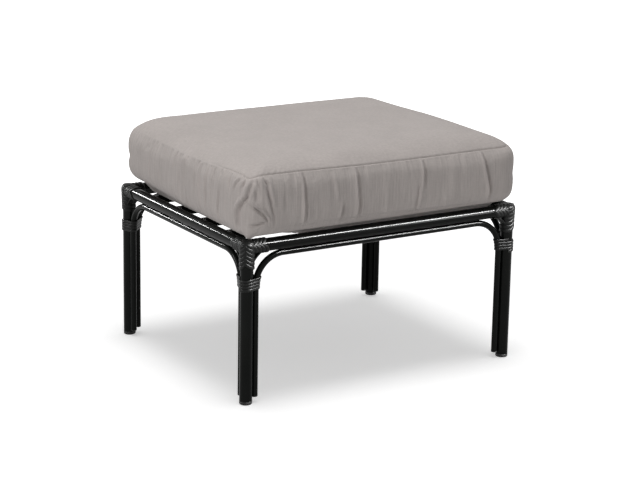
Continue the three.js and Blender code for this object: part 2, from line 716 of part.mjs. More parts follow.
// Cushion
const boxing = boxingSolid();
addPiece("cushion_top_panel", topPanelGeometry(), WOVEN_FABRIC);
addPiece("cushion_bottom_panel", bottomPanelGeometry(), WOVEN_FABRIC);
addPiece("cushion_boxing", geometryFrom(boxing.subtract(zipBox(TOUCH_GAP))), WOVEN_FABRIC);
addPiece("cushion_zip", zipGeometry(boxing), BLACK_PLASTIC);
addPiece("cushion_foam", foamGeometry(), CUSHION_FOAM);

export default ottoman;
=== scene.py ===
"""An outdoor ottoman footstool: a tube frame with lashed corners, seat slats and a box cushion.

All sizes are in metres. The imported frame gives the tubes, slats and cushion their places. What the
frame leaves open, such as the herringbone of the straps or the folds of the cloth, has its own sizes
here. The front is at -Y, the long side lies along X and the floor is at zero.
"""

from __future__ import annotations

import logging
import math
from dataclasses import dataclass, field
from enum import Enum
from typing import Any

import bpy
import numpy as np
from mathutils import Matrix, Vector

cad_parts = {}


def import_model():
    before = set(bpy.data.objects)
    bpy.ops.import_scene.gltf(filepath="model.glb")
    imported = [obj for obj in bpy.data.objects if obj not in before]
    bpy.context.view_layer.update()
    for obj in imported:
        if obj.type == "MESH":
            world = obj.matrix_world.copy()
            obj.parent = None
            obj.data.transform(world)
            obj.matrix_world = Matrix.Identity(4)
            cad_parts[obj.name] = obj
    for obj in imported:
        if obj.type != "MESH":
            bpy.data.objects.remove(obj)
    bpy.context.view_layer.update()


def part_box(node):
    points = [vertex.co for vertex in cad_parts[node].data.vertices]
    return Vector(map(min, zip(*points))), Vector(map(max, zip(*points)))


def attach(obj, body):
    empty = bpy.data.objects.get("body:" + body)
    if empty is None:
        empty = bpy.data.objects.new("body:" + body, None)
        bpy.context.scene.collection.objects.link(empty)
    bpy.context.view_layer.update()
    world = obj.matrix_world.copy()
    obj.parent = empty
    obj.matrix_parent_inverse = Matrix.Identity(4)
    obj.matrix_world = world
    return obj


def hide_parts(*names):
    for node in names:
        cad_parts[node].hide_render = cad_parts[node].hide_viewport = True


Array = np.ndarray
Values = tuple[float, ...]
Pair = tuple[float, float]
Point = tuple[float, float, float]
Colour = tuple[float, float, float, float]
Socket = bpy.types.NodeSocket

LOG = logging.getLogger("ottoman")
# What a material's name has after the name of its slot.
FINISH = "_finish"
# What the cover's pattern coordinates count from on its side, which tells it from the top.
SIDE_PATTERN = 10.0
# Waves in a metre of Blender's wave texture at a scale of 1.
WAVES_PER_METRE = 3.2
# Directions of shape (1, 3), which stay the same along a path.
X_AXIS, Y_AXIS, Z_AXIS = np.eye(3)[:, None]


def smoothstep(value: Array, low: float, high: float) -> Array:
    """Rise from 0 at low to 1 at high along 3t^2 - 2t^3."""
    share = np.clip((value - low) / (high - low), 0.0, 1.0)
    return share * share * (3.0 - 2.0 * share)


def unit(vectors: Array) -> Array:
    """Scale each vector of an array to a length of one."""
    return vectors / np.linalg.norm(vectors, axis=-1, keepdims=True)


def stacked(*values: Array | float) -> Array:
    """Bring values to one shape and stack them along a new last axis."""
    return np.stack(np.broadcast_arrays(*values), -1)


def circle_angles(count: int) -> Array:
    """Return count angles evenly round a circle, in radians."""
    return np.linspace(0.0, 2 * np.pi, count, endpoint=False)


def bent_line(start: Array, bend: Array, end: Array, share: Array) -> Array:
    """Return places on the curve (1-t)^2 start + 2t(1-t) bend + t^2 end."""
    return (1 - share) ** 2 * start + 2 * share * (1 - share) * bend + share ** 2 * end


def closed_round(grid: Array) -> Array:
    """Return a grid with its first column once more at its end."""
    return np.concatenate([grid, grid[:, :1]], 1)


def cell_corners(grid: Array) -> Array:
    """Return what a grid has at the corners of each cell, in order round the cell.

    Args:
        grid: Values of shape (rows, columns), or (rows, columns, channels).

    Returns:
        Values of shape (cells, 4), or (cells, 4, channels), row by row.
    """
    corners = np.stack([grid[:-1, :-1], grid[:-1, 1:], grid[1:, 1:], grid[1:, :-1]], 2)
    return corners.reshape(-1, *corners.shape[2:])


def cubic_weights(share: Array) -> Array:
    """Return the four Catmull-Rom weights of a place between two samples, of shape (n, 4)."""
    square, cube = share ** 2, share ** 3
    return stacked(
        square - (share + cube) / 2,
        1 - 2.5 * square + 1.5 * cube,
        share / 2 + 2 * square - 1.5 * cube,
        (cube - square) / 2,
    )


def resampled(grid: Array, rows: Array, columns: Array) -> Array:
    """Read a grid between its samples along cubic curves. Its columns close on themselves.

    Args:
        grid: Values of shape (rows, columns, channels).
        rows: Wanted rows, counted in samples.
        columns: Wanted columns, counted in samples.

    Returns:
        Values of shape (wanted rows, wanted columns, channels).
    """
    first = np.floor(columns).astype(int)
    near = (first[:, None] + np.arange(-1, 3)) % grid.shape[1]
    across = np.einsum("rnkc,nk->rnc", grid[:, near], cubic_weights(columns - first))
    first = np.clip(np.floor(rows).astype(int), 0, len(grid) - 2)
    near = np.clip(first[:, None] + np.arange(-1, 3), 0, len(grid) - 1)
    return np.einsum("mknc,mk->mnc", across[near], cubic_weights(rows - first))


@dataclass
class Surface:
    """Closed surfaces gathered from grids of points, with a pattern coordinate at each face corner.

    Attributes:
        points: Blocks of points, each of shape (n, 3).
        faces: Blocks of faces, each of shape (k, 3) or (k, 4).
        patterns: One block for each block of faces, of shape (k, corners, 2), in metres.
        size: How many points have been added.
    """

    points: list[Array] = field(default_factory=list)
    faces: list[Array] = field(default_factory=list)
    patterns: list[Array] = field(default_factory=list)
    size: int = 0

    def add(self, points: Array, faces: list[Array], patterns: list[Array]) -> None:
        """Add one closed surface and turn it outwards.

        The volume inside is the sum over triangles of a . (b x c) / 6. Where that is negative, the
        order of every face's corners is reversed.

        Args:
            points: The surface's points, of shape (n, 3).
            faces: Its blocks of faces, counted from its own first point.
            patterns: The pattern coordinates of each block's corners.
        """
        volume = 0.0
        for block in faces:
            corners = points[block]
            for last in range(2, block.shape[1]):
                cross = np.cross(corners[:, last - 1], corners[:, last])
                volume += float(np.sum(corners[:, 0] * cross))
        step = 1 if volume > 0 else -1
        self.points.append(points)
        self.faces.extend(block[:, ::step] + self.size for block in faces)
        self.patterns.extend(block[:, ::step] for block in patterns)
        self.size += len(points)

    def add_rings(self, rings: Array, loop: bool = False, pattern: Array | None = None) -> Surface:
        """Add rings of points joined into a skin, closed at both ends or on itself.

        Args:
            rings: Points of shape (rows, columns, 3). Columns run round and close on themselves.
            loop: Whether the last ring joins the first. If not, each end is closed by a fan.
            pattern: Pattern coordinates of shape (rows, columns + 1, 2), or None for none.

        Returns:
            The surface itself.
        """
        rows, columns = rings.shape[:2]
        if pattern is None:
            pattern = np.zeros((rows, columns + 1, 2))
        index = closed_round(np.arange(rows * columns).reshape(rows, columns))
        grids = [np.concatenate([grid, grid[:1]]) if loop else grid for grid in (index, pattern)]
        faces, patterns = ([cell_corners(grid)] for grid in grids)
        points = [rings.reshape(-1, 3)]
        if not loop:
            for ring, order in ((0, -1), (rows - 1, 1)):
                middle = rows * columns + len(points) - 1
                points.append(rings[ring].mean(0, keepdims=True))
                fan = stacked(index[ring, :-1], index[ring, 1:], middle)
                start, end = pattern[ring, :-1], pattern[ring, 1:]
                fan_pattern = np.stack([start, end, (start + end) / 2], 1)
                faces.append(fan[:, ::order])
                patterns.append(fan_pattern[:, ::order])
        self.add(np.concatenate(points), faces, patterns)
        return self

    @classmethod
    def joined(cls, parts: list[Surface]) -> Surface:
        """Gather several surfaces into one."""
        whole = cls()
        for part in parts:
            whole.faces += [block + whole.size for block in part.faces]
            whole.points += part.points
            whole.patterns += part.patterns
            whole.size += part.size
        return whole

    def placed(self, turn: float, place: Point) -> Surface:
        """Return a copy turned about the Z axis by turn radians and then moved to place."""
        cosine, sine = math.cos(turn), math.sin(turn)
        spin = np.array([[cosine, sine, 0.0], [-sine, cosine, 0.0], [0.0, 0.0, 1.0]])
        points = [block @ spin + np.array(place) for block in self.points]
        return Surface(points, list(self.faces), list(self.patterns), self.size)

    def to_mesh(self, name: str) -> bpy.types.Mesh:
        """Make a smooth mesh called name, whose UV map is the pattern coordinates."""
        mesh = bpy.data.meshes.new(name)
        faces = [face for block in self.faces for face in block.tolist()]
        mesh.from_pydata(np.concatenate(self.points).tolist(), [], faces)
        layer = mesh.uv_layers.new(name="pattern")
        corners = np.concatenate([block.reshape(-1, 2) for block in self.patterns])
        layer.data.foreach_set("uv", corners.ravel())
        mesh.shade_smooth()
        return mesh


def rounded_profile(corners: list[Pair], radius: float, steps: int = 4, hold: float = 1.2) -> Array:
    """Round the inner corners of an open profile.

    Each corner becomes a curve (1-t)^2 a + 2t(1-t) corner + t^2 b, where a and b lie radius away from
    it on its two sides, with one more point on each side that keeps the flats flat.

    Args:
        corners: The profile's points.
        radius: How far the curve starts from its corner, at most 0.4 of each side.
        steps: How many pieces a curve has.
        hold: How far the flats' own points lie from the corner, as a share of the curve's start.

    Returns:
        The rounded profile, of shape (n, 2).
    """
    line = np.array(corners, float)
    share = np.linspace(0.0, 1.0, steps + 1)[:, None]
    rounded = [line[:1]]
    for before, corner, after in zip(line[:-2], line[1:-1], line[2:]):
        back, on = before - corner, after - corner
        reach = min(radius, 0.4 * np.linalg.norm(back), 0.4 * np.linalg.norm(on))
        start, end = corner + unit(back) * reach, corner + unit(on) * reach
        hold_start = corner + unit(back) * reach * hold
        hold_end = corner + unit(on) * reach * hold
        rounded += [hold_start[None], bent_line(start, corner, end, share), hold_end[None]]
    rounded.append(line[-1:])
    return np.concatenate(rounded)


def turned_rings(profile: Array, sides: int) -> Array:
    """Turn a profile of (radius, height) points round the Z axis.

    A point is (radius cos a, radius sin a, height) for each angle a.

    Args:
        profile: Points of shape (n, 2).
        sides: How many steps go round.

    Returns:
        Rings of shape (n, sides, 3).
    """
    angle = circle_angles(sides)
    radius, height = profile[:, :1], profile[:, 1:]
    return stacked(radius * np.cos(angle), radius * np.sin(angle), height)


def carried_rings(path: Array, across: Array, up: Array, section: Array) -> Array:
    """Carry a section along a path.

    A point is path + across * section x + up * section y.

    Args:
        path: Places of shape (n, 3).
        across: The section's x direction at each place, of shape (n, 3) or (1, 3).
        up: The section's y direction at each place, of shape (n, 3) or (1, 3).
        section: Points of shape (m, 2), or (n, m, 2) where it changes along the path.

    Returns:
        Rings of shape (n, m, 3).
    """
    section = np.broadcast_to(section, (len(path),) + section.shape[-2:])
    return path[:, None] + section[..., :1] * across[:, None] + section[..., 1:] * up[:, None]


def circle_section(radius: float, sides: int) -> Array:
    """Return a circle's points, of shape (sides, 2)."""
    angle = circle_angles(sides)
    return radius * stacked(np.cos(angle), np.sin(angle))


def squared_section(sides: int, power: float) -> Array:
    """Return a superellipse's points in a square of side 2, of shape (sides, 2).

    They are (cos a, sin a) with the size of each raised to the power and its sign kept.
    """
    circle = circle_section(1.0, sides)
    return np.sign(circle) * np.abs(circle) ** power


def strap_section(width: float, thickness: float, sides: int) -> Array:
    """Return a flat strap's section with round edges."""
    return squared_section(sides, 0.62) * (width / 2, thickness / 2)


class Recipe:
    """The node tree of one material, or of the world, built a node at a time."""

    def __init__(self, owner: bpy.types.Material | bpy.types.World) -> None:
        """Empty the tree of its owner."""
        self.owner = owner
        owner.use_nodes = True
        self.tree = owner.node_tree
        self.tree.nodes.clear()

    @classmethod
    def of_finish(cls, name: str) -> Recipe:
        """Start the material of a finish called name."""
        return cls(bpy.data.materials.new(name + FINISH))

    def node(self, kind: str, inputs: dict[Any, Any] | None = None, **settings: Any) -> bpy.types.Node:
        """Add a node.

        Args:
            kind: The node's type, without its ShaderNode prefix.
            inputs: For a socket's name or number, a value or the output that feeds it.
            **settings: Properties of the node.

        Returns:
            The node.
        """
        made = self.tree.nodes.new("ShaderNode" + kind)
        for key, value in settings.items():
            setattr(made, key, value)
        for key, value in (inputs or {}).items():
            if isinstance(value, Socket):
                self.tree.links.new(value, made.inputs[key])
            else:
                made.inputs[key].default_value = value
        return made

    def place(self, scale: Point = (1.0, 1.0, 1.0), pattern: bool = False) -> Socket:
        """Return scaled Object coordinates, or the piece's own pattern coordinates."""
        if pattern:
            source = self.node("UVMap", uv_map="pattern").outputs["UV"]
        else:
            source = self.node("TexCoord").outputs["Object"]
        return self.node("Mapping", {"Vector": source, "Scale": scale}).outputs["Vector"]

    def noise(self, place: Socket, scale: float, detail: float) -> Socket:
        """Return a noise value between 0 and 1 at a place."""
        inputs = {"Vector": place, "Scale": scale, "Detail": detail, "Roughness": 0.55}
        return self.node("TexNoise", inputs).outputs["Fac"]

    def span(self, value: Socket, low: float, high: float,
             start: float = 0.0, end: float = 1.0) -> Socket:
        """Return value moved from the range start to end into the range low to high."""
        inputs = {"Value": value, "From Min": start, "From Max": end, "To Min": low, "To Max": high}
        return self.node("MapRange", inputs).outputs["Result"]

    def math(self, operation: str, first: Any, second: Any) -> Socket:
        """Return the result of a Math node."""
        return self.node("Math", {0: first, 1: second}, operation=operation).outputs["Value"]

    def waves(self, place: Socket, scale: float, axis: str, distortion: float, detail: float) -> Socket:
        """Return waves between 0 and 1 that run along an axis."""
        inputs = {"Vector": place, "Scale": scale, "Distortion": distortion, "Detail": detail}
        return self.node("TexWave", inputs, bands_direction=axis).outputs["Fac"]

    def mix(self, share: Any, first: Any, second: Any) -> Socket:
        """Return a colour between first and second."""
        return self.node("Mix", {0: share, 6: first, 7: second}, data_type="RGBA").outputs[2]

    def bump(self, height: Socket, distance: float, strength: Socket | float = 1.0,
             below: Socket | None = None) -> Socket:
        """Return a normal raised by height, in metres of distance, over the bump below it."""
        inputs = {"Height": height, "Distance": distance, "Strength": strength}
        if below is not None:
            inputs["Normal"] = below
        return self.node("Bump", inputs).outputs["Normal"]

    def finish(self, inputs: dict[str, Any]) -> bpy.types.Material:
        """Close the tree with a Principled shader that has these inputs."""
        shader = self.node("BsdfPrincipled", inputs)
        self.node("OutputMaterial", {"Surface": shader.outputs["BSDF"]})
        return self.owner


@dataclass(frozen=True)
class PowderCoat:
    """Satin black powder coat on aluminium tube, with a fine orange peel and faint handling marks."""

    colour: Colour = (0.0040, 0.0046, 0.0040, 1.0)
    dusted: Colour = (0.0075, 0.0080, 0.0070, 1.0)
    roughness: Pair = (0.13, 0.19)
    specular: float = 0.06
    peel_scale: float = 700.0
    peel_depth: float = 0.000005

    def build(self) -> bpy.types.Material:
        """Make the material."""
        recipe = Recipe.of_finish("powder_coat")
        place = recipe.place()
        cloud = recipe.noise(place, scale=9.0, detail=4.0)
        peel = recipe.noise(place, scale=self.peel_scale, detail=2.0)
        grain = recipe.noise(place, scale=self.peel_scale * 4, detail=1.0)
        dust = recipe.span(cloud, 0.0, 1.0, start=0.45, end=0.8)
        colour = recipe.mix(dust, self.colour, self.dusted)
        normal = recipe.bump(peel, self.peel_depth)
        return recipe.finish({
            "Base Color": colour,
            "Roughness": recipe.span(grain, *self.roughness),
            "Specular IOR Level": self.specular,
            "Normal": recipe.bump(grain, self.peel_depth / 4, below=normal),
        })


@dataclass(frozen=True)
class ResinStrap:
    """Black extruded resin strap, with fine grooves along it and paler scuffs."""

    colour: Colour = (0.0034, 0.0038, 0.0034, 1.0)
    worn: Colour = (0.010, 0.0105, 0.0095, 1.0)
    roughness: Pair = (0.36, 0.46)
    specular: float = 0.13
    groove_pitch: float = 0.0011
    groove_depth: float = 0.00005

    def build(self) -> bpy.types.Material:
        """Make the material."""
        recipe = Recipe.of_finish("resin_strap")
        pattern = recipe.place(pattern=True)
        scale = 1.0 / self.groove_pitch / WAVES_PER_METRE
        grooves = recipe.waves(pattern, scale, axis="Y", distortion=1.2, detail=2.0)
        blotches = recipe.noise(recipe.place(), scale=60.0, detail=4.0)
        long = recipe.place((60.0, 400.0, 1.0), pattern=True)
        scuffs = recipe.noise(long, scale=1.0, detail=3.0)
        wear = recipe.span(scuffs, 0.0, 1.0, start=0.5, end=0.8)
        return recipe.finish({
            "Base Color": recipe.mix(wear, self.colour, self.worn),
            "Roughness": recipe.span(blotches, *self.roughness, start=0.3, end=0.7),
            "Specular IOR Level": self.specular,
            "Normal": recipe.bump(grooves, self.groove_depth),
        })


@dataclass(frozen=True)
class BlackPlastic:
    """Moulded black plastic with a fine spark grain, scuffed paler where it meets the floor."""

    colour: Colour = (0.0055, 0.0055, 0.0055, 1.0)
    scuffed: Colour = (0.022, 0.021, 0.020, 1.0)
    roughness: Pair = (0.45, 0.62)
    specular: float = 0.25
    grain_depth: float = 0.00004
    scuff_height: float = 0.0022

    def build(self) -> bpy.types.Material:
        """Make the material."""
        recipe = Recipe.of_finish("black_plastic")
        place = recipe.place()
        grain = recipe.noise(place, scale=1600.0, detail=2.0)
        height = recipe.node("SeparateXYZ", {"Vector": place}).outputs["Z"]
        low = recipe.span(height, 1.0, 0.0, start=0.0, end=self.scuff_height)
        marks = recipe.math("MULTIPLY", low, recipe.noise(place, scale=350.0, detail=4.0))
        return recipe.finish({
            "Base Color": recipe.mix(marks, self.colour, self.scuffed),
            "Roughness": recipe.span(grain, *self.roughness),
            "Specular IOR Level": self.specular,
            "Normal": recipe.bump(grain, self.grain_depth),
        })


@dataclass(frozen=True)
class WovenFabric:
    """Taupe outdoor canvas: a plain weave of slightly irregular, two-tone yarns with a soft nap.

    The weave is the product of two waves along the cloth's own two directions. Yarns differ in tone
    by noise that is long along them and narrow across them. On the side, where the cloth hangs from
    its seam, long narrow folds are raised by a bump and their hollows are darkened with painted shade;
    elsewhere short slubs darken the yarn at random. The waves' scale is 1 over yarn_pitch and
    wave_share, which puts two yarns on a wave. The sheen is its weight and roughness.
    """

    colour: Colour = (0.425, 0.387, 0.369, 1.0)
    # Random darker yarn, and the painted shade in the hollows of the side's folds.
    dark_yarn: Colour = (0.300, 0.272, 0.260, 1.0)
    light_yarn: Colour = (0.545, 0.497, 0.474, 1.0)
    yarn_pitch: float = 0.0009
    wave_share: float = 6.283
    yarn_height: float = 0.00012
    streak_depth: float = 0.0011
    roughness: float = 0.92
    specular: float = 0.2
    sheen: Pair = (0.12, 0.6)

    def build(self) -> bpy.types.Material:
        """Make the material."""
        recipe = Recipe.of_finish("woven_fabric")
        pattern = recipe.place(pattern=True)
        across = recipe.node("SeparateXYZ", {"Vector": pattern}).outputs["X"]
        on_side = recipe.math("GREATER_THAN", across, SIDE_PATTERN / 2)
        scale = 1.0 / self.yarn_pitch / self.wave_share
        waves = [recipe.waves(pattern, scale, axis, distortion=0.6, detail=1.0) for axis in "XY"]
        weave = recipe.math("MULTIPLY", *waves)
        yarns = [
            recipe.noise(recipe.place(stretch, pattern=True), scale=1.0, detail=3.0)
            for stretch in ((900.0, 28.0, 1.0), (28.0, 900.0, 1.0))
        ]
        tone = recipe.span(recipe.math("ADD", *yarns), 0.0, 1.0, start=0.72, end=1.28)
        heather = recipe.mix(tone, self.dark_yarn, self.light_yarn)
        cloud = recipe.noise(recipe.place(), scale=16.0, detail=5.0)
        faded = recipe.span(cloud, 0.0, 1.0, start=0.3, end=0.7)
        colour = recipe.mix(0.55, heather, recipe.mix(faded, self.colour, self.light_yarn))
        colour = recipe.mix(0.45, colour, self.colour)
        # The side's long folds are bumped, and their hollows are darkened with painted shade; the short
        # slubs on the top and bottom are random darker yarn.
        side_folds, slubs = (
            recipe.noise(recipe.place(stretch, pattern=True), scale=1.0, detail=4.0)
            for stretch in ((300.0, 11.0, 1.0), (150.0, 260.0, 1.0))
        )
        elsewhere = recipe.math("SUBTRACT", 1.0, on_side)
        fold_hollows_and_slubs = recipe.math("ADD", recipe.math("MULTIPLY", side_folds, on_side),
                             recipe.math("MULTIPLY", slubs, elsewhere))
        shade = recipe.span(fold_hollows_and_slubs, 0.30, 0.0, start=0.35, end=0.62)
        colour = recipe.mix(shade, colour, self.dark_yarn)
        fibre = recipe.noise(pattern, scale=5200.0, detail=3.0)
        normal = recipe.bump(side_folds, self.streak_depth, on_side)
        normal = recipe.bump(weave, self.yarn_height, below=normal)
        normal = recipe.bump(fibre, self.yarn_height / 3, below=normal)
        return recipe.finish({
            "Base Color": colour,
            "Roughness": self.roughness,
            "Specular IOR Level": self.specular,
            "Sheen Weight": self.sheen[0],
            "Sheen Roughness": self.sheen[1],
            "Normal": normal,
        })


@dataclass(frozen=True)
class Finishes:
    """The materials of the whole object, made once."""

    powder_coat: bpy.types.Material
    resin_strap: bpy.types.Material
    black_plastic: bpy.types.Material
    woven_fabric: bpy.types.Material

    @classmethod
    def build(cls) -> Finishes:
        """Make each finish with its own sizes and colours."""
        return cls(
            PowderCoat().build(), ResinStrap().build(), BlackPlastic().build(), WovenFabric().build()
        )


def fit(skin: Surface, name: str, material: bpy.types.Material, body: str, *nodes: str,
        crease: float = 38.0) -> bpy.types.Object:
    """Make a piece, dress it, let it ride on its body and stand for its nodes of the frame.

    Args:
        skin: The piece's surface, in its place.
        name: The piece's name.
        material: Its finish.
        body: The body that it moves with.
        *nodes: The nodes that it replaces.
        crease: The degrees between two faces above which their edge stays sharp.

    Returns:
        The piece's object, at the origin.
    """
    mesh = skin.to_mesh(name)
    mesh.set_sharp_from_angle(angle=math.radians(crease))
    mesh.materials.append(material)
    piece = bpy.data.objects.new(name, mesh)
    bpy.context.scene.collection.objects.link(piece)
    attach(piece, body)
    if nodes:
        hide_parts(*nodes)
    LOG.info("%s: %d faces", name, len(mesh.polygons))
    return piece


class Corner(Enum):
    """The four corners: the sides of X and Y that each is on, and its turn from the front left one."""

    FRONT_LEFT = (-1, -1, 0.0)
    FRONT_RIGHT = (1, -1, math.pi / 2)
    BACK_RIGHT = (1, 1, math.pi)
    BACK_LEFT = (-1, 1, -math.pi / 2)

    @property
    def label(self) -> str:
        """The corner's name as the frame's nodes have it."""
        return self.name.lower()

    @property
    def turn(self) -> float:
        """Radians that a piece made for the front left corner is turned by."""
        return self.value[2]

    def place(self, plan: FramePlan, height: float = 0.0) -> Point:
        """The place at a height on the axis of this corner's leg."""
        return self.value[0] * plan.half_x, self.value[1] * plan.half_y, height


@dataclass(frozen=True)
class FramePlan:
    """Sizes and places of the tube frame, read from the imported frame.

    Attributes:
        half_x: From the middle to a leg's axis along X.
        half_y: From the middle to a leg's axis along Y.
        rail_axis: Height of the rails' axes.
        rail_top: Height of the rails' and legs' tops.
        main_radius: Radius of the legs and rails.
        thin_radius: Radius of the hoops.
        hoop_inset: From a leg's axis to the hoop upright beside it.
        hoop_axis: Height of a hoop's top run.
        hoop_low: Height of a hoop's lower ends.
        leg_low: Height of a leg's lower end.
    """

    half_x: float
    half_y: float
    rail_axis: float
    rail_top: float
    main_radius: float
    thin_radius: float
    hoop_inset: float
    hoop_axis: float
    hoop_low: float
    leg_low: float

    @classmethod
    def read(cls) -> FramePlan:
        """Measure the nodes' boxes."""
        leg_low, leg_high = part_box("leg_front_left")
        rail_low, rail_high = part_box("rail_front")
        hoop_low, hoop_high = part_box("hoop_front")
        thin_radius = (hoop_high.y - hoop_low.y) / 2
        half_x = -(leg_low.x + leg_high.x) / 2
        return cls(
            half_x=half_x,
            half_y=-(leg_low.y + leg_high.y) / 2,
            rail_axis=(rail_low.z + rail_high.z) / 2,
            rail_top=rail_high.z,
            main_radius=(leg_high.x - leg_low.x) / 2,
            thin_radius=thin_radius,
            hoop_inset=hoop_low.x + thin_radius + half_x,
            hoop_axis=hoop_high.z - thin_radius,
            hoop_low=hoop_low.z,
            leg_low=leg_low.z,
        )


def fit_corners(skin: Surface, plan: FramePlan, height: float, name: str,
                material: bpy.types.Material, node: str, crease: float) -> None:
    """Fit a piece that is made for the front left corner to each corner.

    Args:
        skin: Its surface, round the axis of the corner's leg.
        plan: Where the legs are.
        height: How far it is raised.
        name: What the pieces' names start with.
        material: Their finish.
        node: What the names of the nodes that they replace start with.
        crease: As for fit.
    """
    for corner in Corner:
        copy = skin.placed(corner.turn, corner.place(plan, height))
        fit(copy, name + corner.label, material, "frame", node + corner.label, crease=crease)


@dataclass(frozen=True)
class TubeFrame:
    """Legs, rails, hoops, slats, glides and plugs."""

    plan: FramePlan
    main_wall: float = 0.0016
    thin_wall: float = 0.0012
    joint_gap: float = 0.0003
    bend_radius: float = 0.060
    bend_steps: int = 28
    main_sides: int = 72
    thin_sides: int = 40
    slat_edge: float = 0.0012
    bead_radius: float = 0.0022
    bead_inset: float = 0.002
    bead_sink: float = 0.0006
    bead_ripples: float = 70.0
    ring_groove: float = 0.0005
    barb: float = 0.93
    glide_edge: float = 0.0016
    plug_edge: float = 0.0008

    def leg(self) -> Surface:
        """A tube turned from its profile, closed above by a cap and open below."""
        plan = self.plan
        radius, bore = plan.main_radius, plan.main_radius - self.main_wall
        cap = plan.rail_top - self.main_wall
        profile = rounded_profile([
            (0.0, cap), (bore, cap), (bore, plan.leg_low), (radius, plan.leg_low),
            (radius, plan.rail_top), (0.0, plan.rail_top),
        ], 0.0004)
        return Surface().add_rings(turned_rings(profile[1:-1], self.main_sides))

    def rail(self, half_length: float, along_x: bool) -> Surface:
        """A tube whose ends are coped to the legs, and on the short sides to the long rails too.

        At angle a round the tube, an end lies at half length - sqrt(R^2 - (r cos a)^2), where R is
        the leg's radius with its gap, and where a long rail crosses also at half length -
        sqrt(R^2 - (r sin a)^2), whichever is shorter.

        Args:
            half_length: From the middle to the legs' axes.
            along_x: Whether it is a long rail, along X.

        Returns:
            The rail at the origin.
        """
        clear = self.plan.main_radius + self.joint_gap
        angle = circle_angles(self.main_sides)
        rings = []
        for radius in (self.plan.main_radius, self.plan.main_radius - self.main_wall):
            side, up = radius * np.cos(angle), radius * np.sin(angle)
            cope = np.sqrt(clear ** 2 - side ** 2)
            if not along_x:
                cope = np.maximum(cope, np.sqrt(clear ** 2 - up ** 2))
            reach = half_length - cope
            lengths = np.linspace(-1.0, 1.0, 9)[:, None] * reach
            rings.append(stacked(lengths, side, up) if along_x else stacked(side, lengths, up))
        return Surface().add_rings(np.concatenate([rings[0], rings[1][::-1]]), loop=True)

    def hoop_path(self, half_length: float) -> tuple[Array, Array]:
        """The hoop's route in its own plane and the direction out of its bends.

        It goes up a straight upright, round a quarter circle, across, round a quarter circle and
        down. Each bend's points are centre + radius (cos a, sin a).

        Args:
            half_length: From the middle to the legs' axes.

        Returns:
            Places and outward directions, each of shape (n, 2).
        """
        plan = self.plan
        side = half_length - plan.hoop_inset
        centre = side - self.bend_radius
        shoulder = plan.hoop_axis - self.bend_radius
        turn = np.linspace(0.0, np.pi / 2, self.bend_steps + 1)
        right = stacked(np.cos(turn), np.sin(turn))
        left = right * (-1.0, 1.0)
        places = np.concatenate([
            [[-side, plan.hoop_low]],
            left * self.bend_radius + (-centre, shoulder),
            right[::-1] * self.bend_radius + (centre, shoulder),
            [[side, plan.hoop_low]],
        ])
        return places, np.concatenate([[[-1.0, 0.0]], left, right[::-1], [[1.0, 0.0]]])

    def hoop(self, half_length: float, along_x: bool) -> Surface:
        """A thin hollow tube carried along the hoop's route, open at its lower ends."""
        axis, across = (1, Y_AXIS) if along_x else (0, X_AXIS)
        route = [np.insert(flat, axis, 0.0, axis=1) for flat in self.hoop_path(half_length)]
        skins = []
        for radius in (self.plan.thin_radius, self.plan.thin_radius - self.thin_wall):
            skins.append(carried_rings(*route, across, circle_section(radius, self.thin_sides)))
        return Surface().add_rings(np.concatenate([skins[0], skins[1][::-1]]), loop=True)

    def slat(self, node: str) -> Surface:
        """A flat bar with round edges along X, in its node's box."""
        low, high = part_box(node)
        middle, half = (low + high) / 2, (high - low) / 2
        corner = self.slat_edge
        turn = np.linspace(0.0, np.pi / 2, 6)
        quarter = corner * stacked(np.cos(turn), np.sin(turn))
        first = quarter + (half.y - corner, half.z - corner)
        section = np.concatenate([
            first, first[::-1] * (-1.0, 1.0), first * (-1.0, -1.0), first[::-1] * (1.0, -1.0)
        ])
        ends = half.x * np.array([-1.0, -0.999, 0.0, 0.999, 1.0])
        path = stacked(ends, middle.y, middle.z)
        return Surface().add_rings(carried_rings(path, Y_AXIS, Z_AXIS, section))

    def weld_bead(self, node: str, side: int) -> Surface:
        """The rippled weld along a slat's end, above and below it, against the side rail.

        Its radius is the bead's, times 1 + 0.12 sin of the ripples along it, and falls almost to
        nothing at both ends along sqrt(1 - 0.98 t^8).

        Args:
            node: The slat's node.
            side: -1 for its left end and 1 for its right end.

        Returns:
            The beads.
        """
        low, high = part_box(node)
        share = np.linspace(-1.0, 1.0, 90)
        length = (high.y - low.y) / 2 - self.bead_inset
        middle = (low.y + high.y) / 2
        ripples = 1 + 0.12 * np.sin(share * self.bead_ripples)
        swell = self.bead_radius * ripples * np.sqrt(1 - share ** 8 * 0.98)
        section = circle_section(1.0, 14) * swell[:, None, None]
        end = high.x if side > 0 else low.x
        skin = Surface()
        for height in (low.z, high.z):
            path = stacked(end - side * self.bead_sink, middle + share * length, height)
            skin.add_rings(carried_rings(path, X_AXIS, Z_AXIS, section))
        return skin

    def foot(self, node: str, edge: float) -> Surface:
        """A glide or plug in its node's box: a head with a ring groove, and a barbed stem above."""
        low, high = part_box(node)
        radius, height = (high.x - low.x) / 2, high.z - low.z
        is_glide = radius > self.plan.thin_radius * 1.5
        head = (self.plan.leg_low if is_glide else self.plan.hoop_low) - self.joint_gap - low.z
        wall = self.main_wall if is_glide else self.thin_wall
        stem = radius - wall - self.joint_gap
        groove = self.ring_groove
        barb = stem * self.barb
        corners = [
            (0.0, 0.0), (radius - edge, 0.0), (radius, edge), (radius, head - 3 * groove),
            (radius - groove, head - 2 * groove), (radius, head - groove), (radius, head),
            (stem, head), (barb, (head + height) / 2), (stem, (head + height) / 2),
            (barb, height), (0.0, height),
        ]
        profile = rounded_profile(corners, edge * 0.6)
        skin = Surface().add_rings(turned_rings(profile[1:-1], self.main_sides // 2))
        return skin.placed(0.0, ((low.x + high.x) / 2, (low.y + high.y) / 2, low.z))

